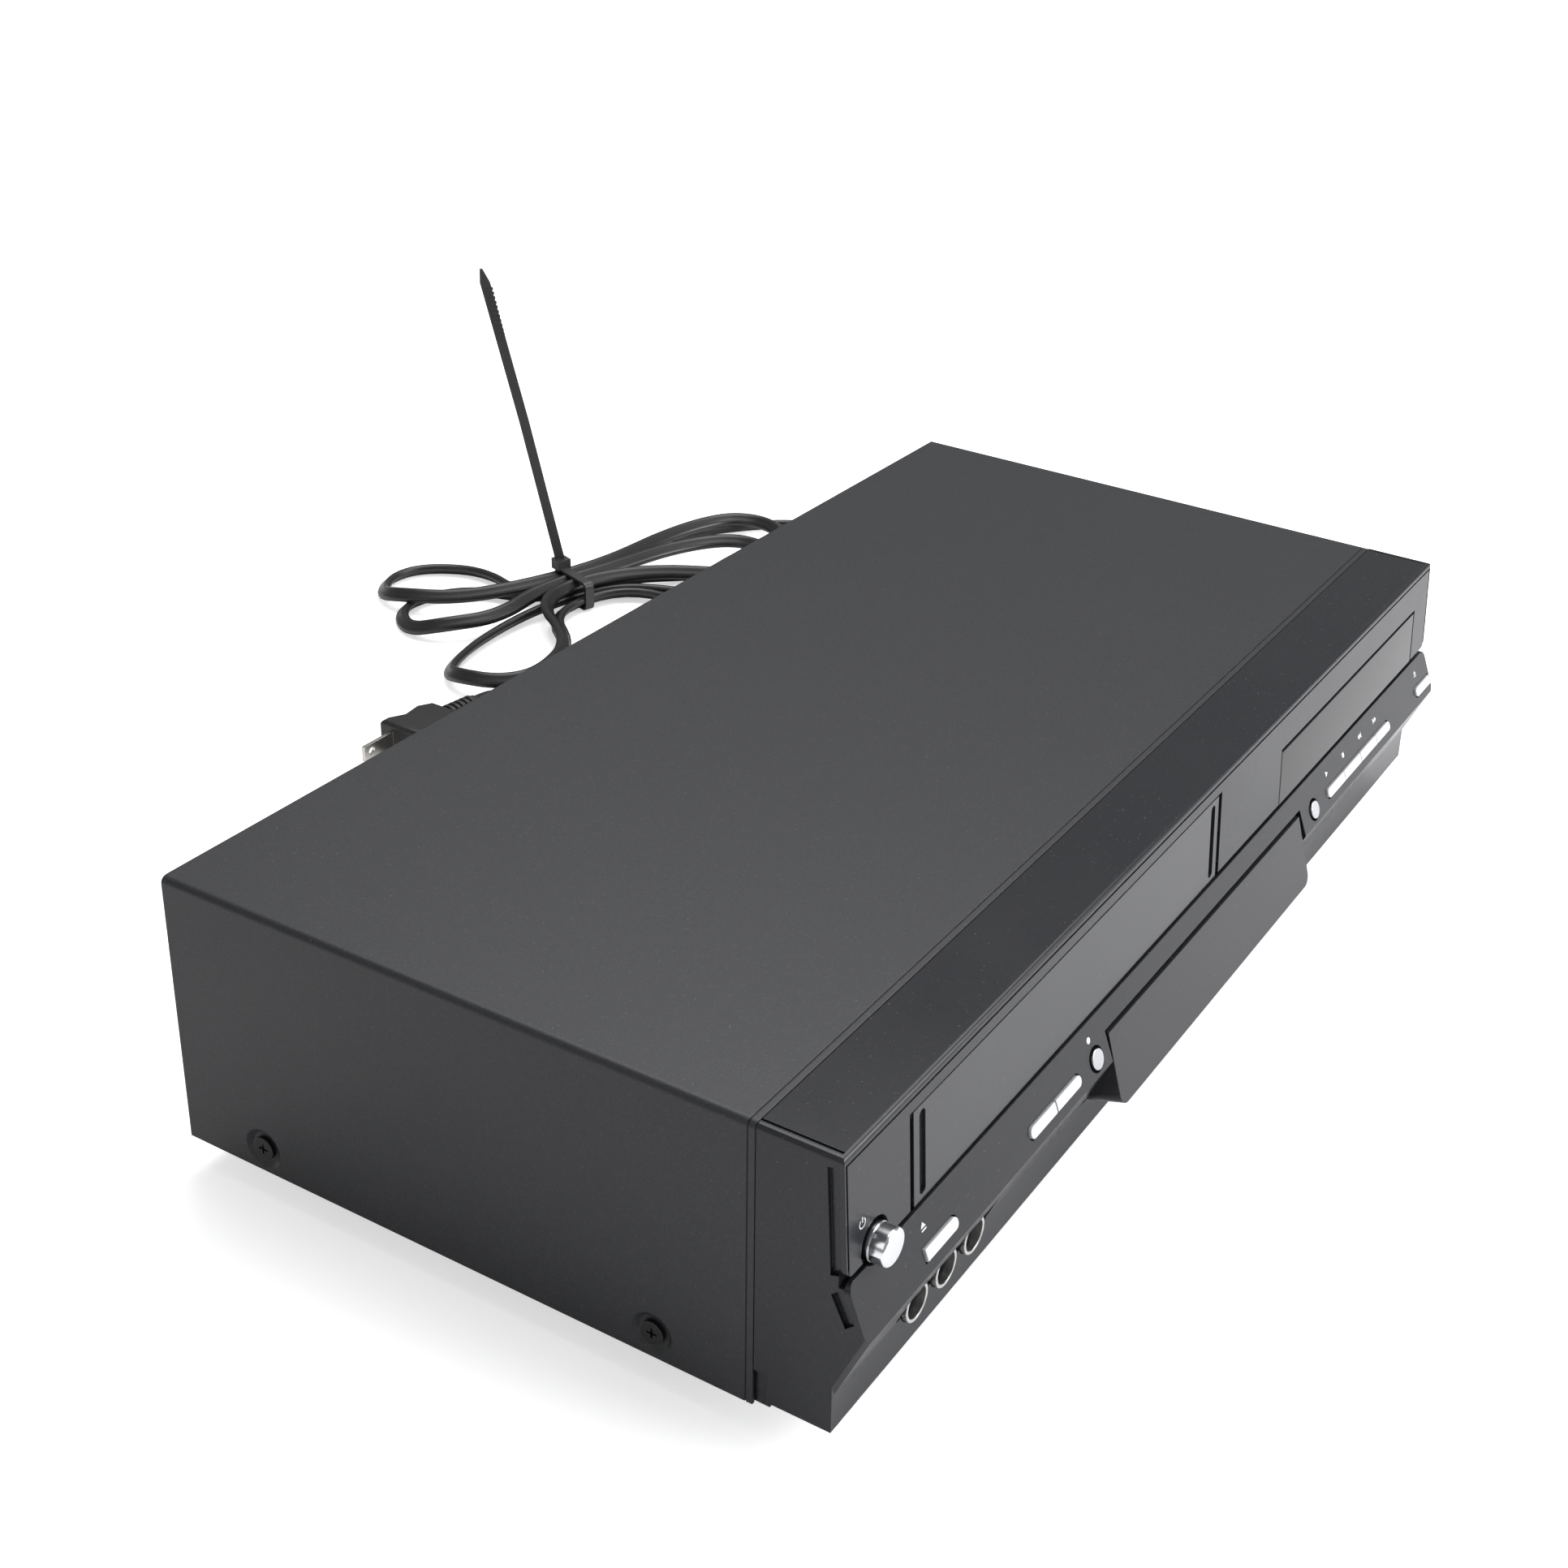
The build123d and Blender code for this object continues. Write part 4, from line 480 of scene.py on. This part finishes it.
def smoothNode(node, look):
    # joins the loose triangles, and keeps a crease where two faces meet at an angle
    weld = node.modifiers.new("joined", "WELD")
    weld.merge_threshold = look["joined"]
    crease = node.modifiers.new("creases", "EDGE_SPLIT")
    crease.split_angle = math.radians(look["crease"])
    crease.use_edge_sharp = False
    node.data.polygons.foreach_set("use_smooth", [True] * len(node.data.polygons))


dressNodes(nodeLook)
print("finishes made and put on the frame")


def addPiece(name, bm, slotName, body, look=None):
    bmesh.ops.recalc_face_normals(bm, faces=bm.faces)
    mesh = bpy.data.meshes.new(name)
    bm.to_mesh(mesh)
    bm.free()
    piece = bpy.data.objects.new(name, mesh)
    scene.collection.objects.link(piece)
    mesh.materials.append(finishes[look or slotName])
    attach(piece, body)


def facePlace(x, z, top, foot, proud):
    # a place on a leaning face between two edges given as (y, z): its axes run along, up and out
    up = Vector((0, top[0] - foot[0], top[1] - foot[1])).normalized()
    out = Vector((1, 0, 0)).cross(up)
    share = (top[1] - z) / (top[1] - foot[1])
    place = Vector((x, top[0] + (foot[0] - top[0]) * share, z)) + out * proud
    return Matrix.Translation(place) @ Matrix(((1, 0, 0), up, out)).transposed().to_4x4()


def ringPoints(radius, steps, start=0.0, end=360.0):
    # a whole ring, or an arc with both its ends
    count = steps + (end - start < 360)
    turns = [math.radians(start + (end - start) * i / steps) for i in range(count)]
    return [(radius * math.cos(a), radius * math.sin(a)) for a in turns]


markLook = {
    "thick": 0.00005,
    "sunk": 0.00002,
    "band": ((panelFront - 0.0021, 0.0617), (panelFront - 0.0081, 0.0455)),
    "fascia": ((panelFront, 0.099), (panelFront - 0.0018, 0.0633)),
}
ejectArrow = [(-1.2, -0.2), (1.2, -0.2), (0, 1.3)]
ejectBar = [(-1.2, -1.1), (1.2, -1.1), (1.2, -0.7), (-1.2, -0.7)]
powerRing = ringPoints(1.5, 24, 125, 415) + ringPoints(1.15, 24, 415, 125)
powerBar = [(-0.18, 0.2), (0.18, 0.2), (0.18, 1.9), (-0.18, 1.9)]
markShapes = {  # outlines in mm
    "eject": [ejectArrow, ejectBar],
    "record": [ringPoints(1.0, 24)],
    "play": [[(-0.9, -1.1), (1.1, 0), (-0.9, 1.1)]],
    "stop": [[(-0.9, -0.9), (0.9, -0.9), (0.9, 0.9), (-0.9, 0.9)]],
    "rewind": [[(0, -1.1), (0, 1.1), (-1.7, 0)], [(1.7, -1.1), (1.7, 1.1), (0, 0)]],
    "forward": [[(0, -1.1), (1.7, 0), (0, 1.1)], [(-1.7, -1.1), (0, 0), (-1.7, 1.1)]],
    "power": [powerRing, powerBar],
}
markList = [  # mark, face, across, height
    ("eject", "band", -0.1815, 0.0570),
    ("record", "band", -0.0870, 0.0570),
    ("play", "band", 0.1045, 0.0568),
    ("stop", "band", 0.1212, 0.0568),
    ("rewind", "band", 0.1385, 0.0568),
    ("forward", "band", 0.1545, 0.0568),
    ("eject", "band", 0.2010, 0.0570),
    ("power", "fascia", -0.2075, 0.0755),
]


def addMark(count, shape, face, x, z, look):
    place = facePlace(x, z, *look[face], -look["sunk"])
    rise = place.to_3x3() @ Vector((0, 0, look["thick"] + look["sunk"]))
    bm = bmesh.new()
    for outline in markShapes[shape]:
        corners = [bm.verts.new(place @ Vector((u * mm, v * mm, 0))) for u, v in outline]
        sheet = bm.faces.new(corners)
        raised = bmesh.ops.extrude_face_region(bm, geom=[sheet])
        top = [item for item in raised["geom"] if isinstance(item, bmesh.types.BMVert)]
        bmesh.ops.translate(bm, verts=top, vec=rise)
    addPiece(f"mark{count}{shape.title()}", bm, "key_white", "casing", look="mark_paint")


for count, (shape, face, x, z) in enumerate(markList):
    addMark(count, shape, face, x, z, markLook)
print("marks on the front")


tongueLook = {
    "outer": 0.2137,
    "inner": 0.2123,
    "front": 0.0208,  # behind the fascia
    "rear": 0.0300,
    "foot": 0.0098,
    "top": 0.0235,
    "edge": 0.0002,
    "edgeSteps": 2,
}


def addTongues(look):
    # behind the notch at each cheek's foot
    bm = bmesh.new()
    for side in (-1, 1):
        left, right = sorted((side * look["inner"], side * look["outer"]))
        low = Vector((left, panelFront + look["front"], look["foot"]))
        high = Vector((right, panelFront + look["rear"], look["top"]))
        size = Matrix.Diagonal((*(high - low), 1))
        made = bmesh.ops.create_cube(bm, size=1, matrix=Matrix.Translation((high + low) / 2) @ size)
        edges = {e for v in made["verts"] for e in v.link_edges}
        bmesh.ops.bevel(bm, geom=list(edges), offset=look["edge"], segments=look["edgeSteps"],
                        profile=0.5, affect="EDGES", material=-1)
    addPiece("cheekTongues", bm, "panel_plastic", "casing")


addTongues(tongueLook)

collarLook = {
    "corner": (-0.052, 0.020),  # of the socket block, as x and z
    "first": 0.0085,
    "across": 0.013,
    "lower": 0.010,
    "apart": 0.017,
    "inner": 0.00425,
    "outer": 0.0056,
    "thick": 0.0007,
    "proud": 0.0006,  # the block's face behind the rear panel
    "steps": 40,
    "rows": 2,
    "paints": ("yellow", "white", "red", "green", "blue", "red"),
}


def addCollar(bm, x, z, look):
    near = panelRear + look["proud"]
    far = near + look["thick"]
    corners = ((look["inner"], near), (look["outer"], near), (look["outer"], far), (look["inner"], far))
    rings = []
    for radius, y in corners:
        rings.append([bm.verts.new((x + u, y, z + v)) for u, v in ringPoints(radius, look["steps"])])
    for ring, following in zip(rings, rings[1:] + rings[:1]):
        for i in range(look["steps"]):
            j = (i + 1) % look["steps"]
            bm.faces.new((ring[i], ring[j], following[j], following[i]))


def addCollars(look):
    # coloured rings round the sockets at the back, one mesh for each colour
    meshes = {}
    for row in range(look["rows"]):
        for column, paint in enumerate(look["paints"]):
            x = look["corner"][0] + look["first"] + look["across"] * column
            z = look["corner"][1] + look["lower"] + look["apart"] * row
            addCollar(meshes.setdefault(paint, bmesh.new()), x, z, look)
    for paint, bm in meshes.items():
        addPiece(f"{paint}Collars", bm, "jack_block", "casing", look=f"{paint}_ring")


addCollars(collarLook)
print("tongues and collars fitted")


def heading(degrees):
    return Vector((math.cos(math.radians(degrees)), math.sin(math.radians(degrees)), 0))


ribLook = {
    "foot": (0.16329, 0.28208, 0.0161),  # where the tie's tail leaves its head
    "heading": 129.3,  # degrees, the way the tail leans
    "lean": 0.029,
    "reach": 0.141,
    "start": 0.111,
    "step": 0.0021,
    "count": 11,
    "width": 0.0030,
    "tall": 0.0009,
    "proud": 0.00028,
    "thick": 0.0012,
}


def addTieRibs(look):
    # the ladder near the free end of the cable tie
    upright = Vector((0, 0, 1))
    broad = heading(look["heading"])
    lean = math.atan2(look["lean"], look["reach"])
    out = broad.cross(upright)
    along = (upright * math.cos(lean) + broad * math.sin(lean)).normalized()
    across = along.cross(out)
    turn = Matrix((across, along, out)).transposed().to_4x4()
    size = Matrix.Diagonal((look["width"], look["tall"], look["thick"] + 2 * look["proud"], 1))
    bm = bmesh.new()
    for rib in range(look["count"]):
        rise = look["start"] + rib * look["step"]
        middle = Vector(look["foot"]) + broad * (look["lean"] * rise / look["reach"]) + upright * rise
        bmesh.ops.create_cube(bm, size=1, matrix=Matrix.Translation(middle) @ turn @ size)
    addPiece("tieRibs", bm, "tie_nylon", "casing")


cordLook = {
    "exit": (0.178, 0.12155, 0.024),
    "width": 0.0068,
    "thick": 0.0037,
    "groove": 0.00045,
    "coreSteps": 9,  # points round each core
    "resolution": 7,
    "strandTilt": 45,  # degrees the flat cord leans
    "row": 0.0030,  # middle of the cord over the floor
    "layer": 0.0059,
    "tieLift": 0.0014,
    "strands": 7,  # through the tie
    "hankPlace": (0.160, 0.27195),
    "hankHeading": -18.0,
    "lobeRadius": 0.022,
    "leftLobes": ((117.0, 0.066), (145.0, 0.057), (196.0, 0.080)),  # heading, reach
    "rightLobes": ((-17.0, 0.094), (-31.0, 0.076), (-62.0, 0.105)),
    "hankIn": (0.075, 0.022, 151.0),
    "hankOut": (0.094, 0.23495, 184.0),
    "earlyClimb": 4,  # the strand whose lobe is up at its tip already
    "drop": ((0.178, 0.14595, 0.024), (0.189, 0.17295, 0.007)),
    "onFloor": ((0.214, 0.18395), (0.243, 0.18095), (0.270, 0.17945), (0.292, 0.19495),
                (0.299, 0.22095), (0.288, 0.24445)),
    "runIn": 0.027,
    "runOut": 0.014,
    "beforePlug": (0.066, 0.23325),
    "intoPlug": ((0.056, 0.23325, 0.0076), (0.046, 0.23325, 0.0076)),
    "fullTiltBefore": 4,  # points of the lead that have the whole lean
}


def hankStations(look):
    # places and directions that the bundle passes, in order
    along = heading(look["hankHeading"])
    across = heading(look["hankHeading"] + 90)
    centre = Vector((*look["hankPlace"], 0))
    rows = (look["row"], look["row"] + look["layer"])

    def inTie(strand):
        column = 1.5 - strand // 2
        return centre + across * (column * look["layer"]) + Vector((0, 0, rows[strand % 2]))

    inAlong, inAcross, inHeading = look["hankIn"]
    stations = [(inTie(0) + along * inAlong + across * inAcross, heading(inHeading))]
    for strand in range(look["strands"]):
        leftward = strand % 2 == 0
        lifted = inTie(strand) + Vector((0, 0, look["tieLift"]))
        stations.append((lifted, along * (-1 if leftward else 1)))
        if strand == look["strands"] - 1:
            break
        toward, reach = look["leftLobes" if leftward else "rightLobes"][strand // 2]
        out = heading(toward)
        side = heading(toward + (-90 if leftward else 90))
        middle = centre + out * reach
        low, high = rows[strand % 2], rows[(strand + 1) % 2]
        tip = high if strand == look["earlyClimb"] else low
        stations.append((middle + side * look["lobeRadius"] + Vector((0, 0, low)), out))
        stations.append((middle + out * look["lobeRadius"] + Vector((0, 0, tip)), side * -1))
        stations.append((middle - side * look["lobeRadius"] + Vector((0, 0, high)), out * -1))
    x, y, turned = look["hankOut"]
    stations.append((Vector((x, y, rows[0])), heading(turned)))
    return stations


def biarcCorners(start, startWay, end, endWay):
    # the two corners that a pair of arcs between two stations is rounded from
    span = end - start
    both = startWay + endWay
    turn = 2 * (1 - startWay.dot(endWay))
    if turn < 1e-9:  # the two ways are the same
        reach = span.dot(span) / (4 * span.dot(endWay))
    else:
        reach = (-span.dot(both) + math.sqrt(span.dot(both) ** 2 + turn * span.dot(span))) / turn
    return [start + startWay * reach, end - endWay * reach]


def cordPoints(look):
    stations = hankStations(look)
    first, toward = stations[0]
    last, out = stations[-1]
    low = look["row"]
    lead = [look["exit"], *look["drop"]]
    lead += [(x, y, low) for x, y in look["onFloor"]]
    lead.append(tuple(first - toward * look["runIn"]))
    turns = []
    for before, after in zip(stations, stations[1:]):
        turns += [tuple(corner) for corner in biarcCorners(*before, *after)]
    end = [tuple(last + out * look["runOut"]), (*look["beforePlug"], low), *look["intoPlug"]]
    return lead + turns + end, len(lead), len(end)


def twinProfile(look):
    # two round cores side by side under one skin, with a groove between them
    half = look["thick"] / 2
    offset = look["width"] / 2 - half
    mouth = math.degrees(math.acos(min(1, (half - look["groove"]) / half)))
    steps = look["coreSteps"]
    ring = []
    for side in (1, -1):
        for step in range(steps):
            angle = math.radians(-(90 + mouth / 2) + step * (180 + mouth) / (steps - 1))
            ring.append((side * (offset + half * math.cos(angle)), side * half * math.sin(angle), 0))
    curve = bpy.data.curves.new("cordSection", "CURVE")
    spline = curve.splines.new("POLY")
    spline.points.add(len(ring) - 1)
    for point, place in zip(spline.points, ring):
        point.co = (*place, 1)
    spline.use_cyclic_u = True
    section = bpy.data.objects.new("cordSection", curve)
    scene.collection.objects.link(section)
    section.hide_render = True
    return section


def makeCord(look):
    places, leadCount, endCount = cordPoints(look)
    curve = bpy.data.curves.new("mainsCord", "CURVE")
    curve.dimensions = "3D"
    curve.twist_mode = "Z_UP"
    spline = curve.splines.new("NURBS")
    spline.points.add(len(places) - 1)
    for index, (point, place) in enumerate(zip(spline.points, places)):
        point.co = (*place, 1)
        fromEnd = len(places) - 1 - index
        ease = min(1.0, index / (leadCount - look["fullTiltBefore"]), fromEnd / endCount)
        point.tilt = math.radians(look["strandTilt"]) * ease
    spline.order_u = 3
    spline.use_endpoint_u = True
    spline.use_smooth = True
    spline.resolution_u = look["resolution"]
    curve.resolution_u = look["resolution"]
    curve.bevel_mode = "OBJECT"
    curve.bevel_object = twinProfile(look)
    curve.use_fill_caps = True
    cord = bpy.data.objects.new("mainsCord", curve)
    scene.collection.objects.link(cord)
    curve.materials.append(finishes["cord_vinyl"])
    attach(cord, "casing")
    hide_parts("power_cord_lead", "power_cord_hank", "power_cord_end")
    return cord


mainsCord = makeCord(cordLook)
addTieRibs(ribLook)
print("cord laid")


print("done")
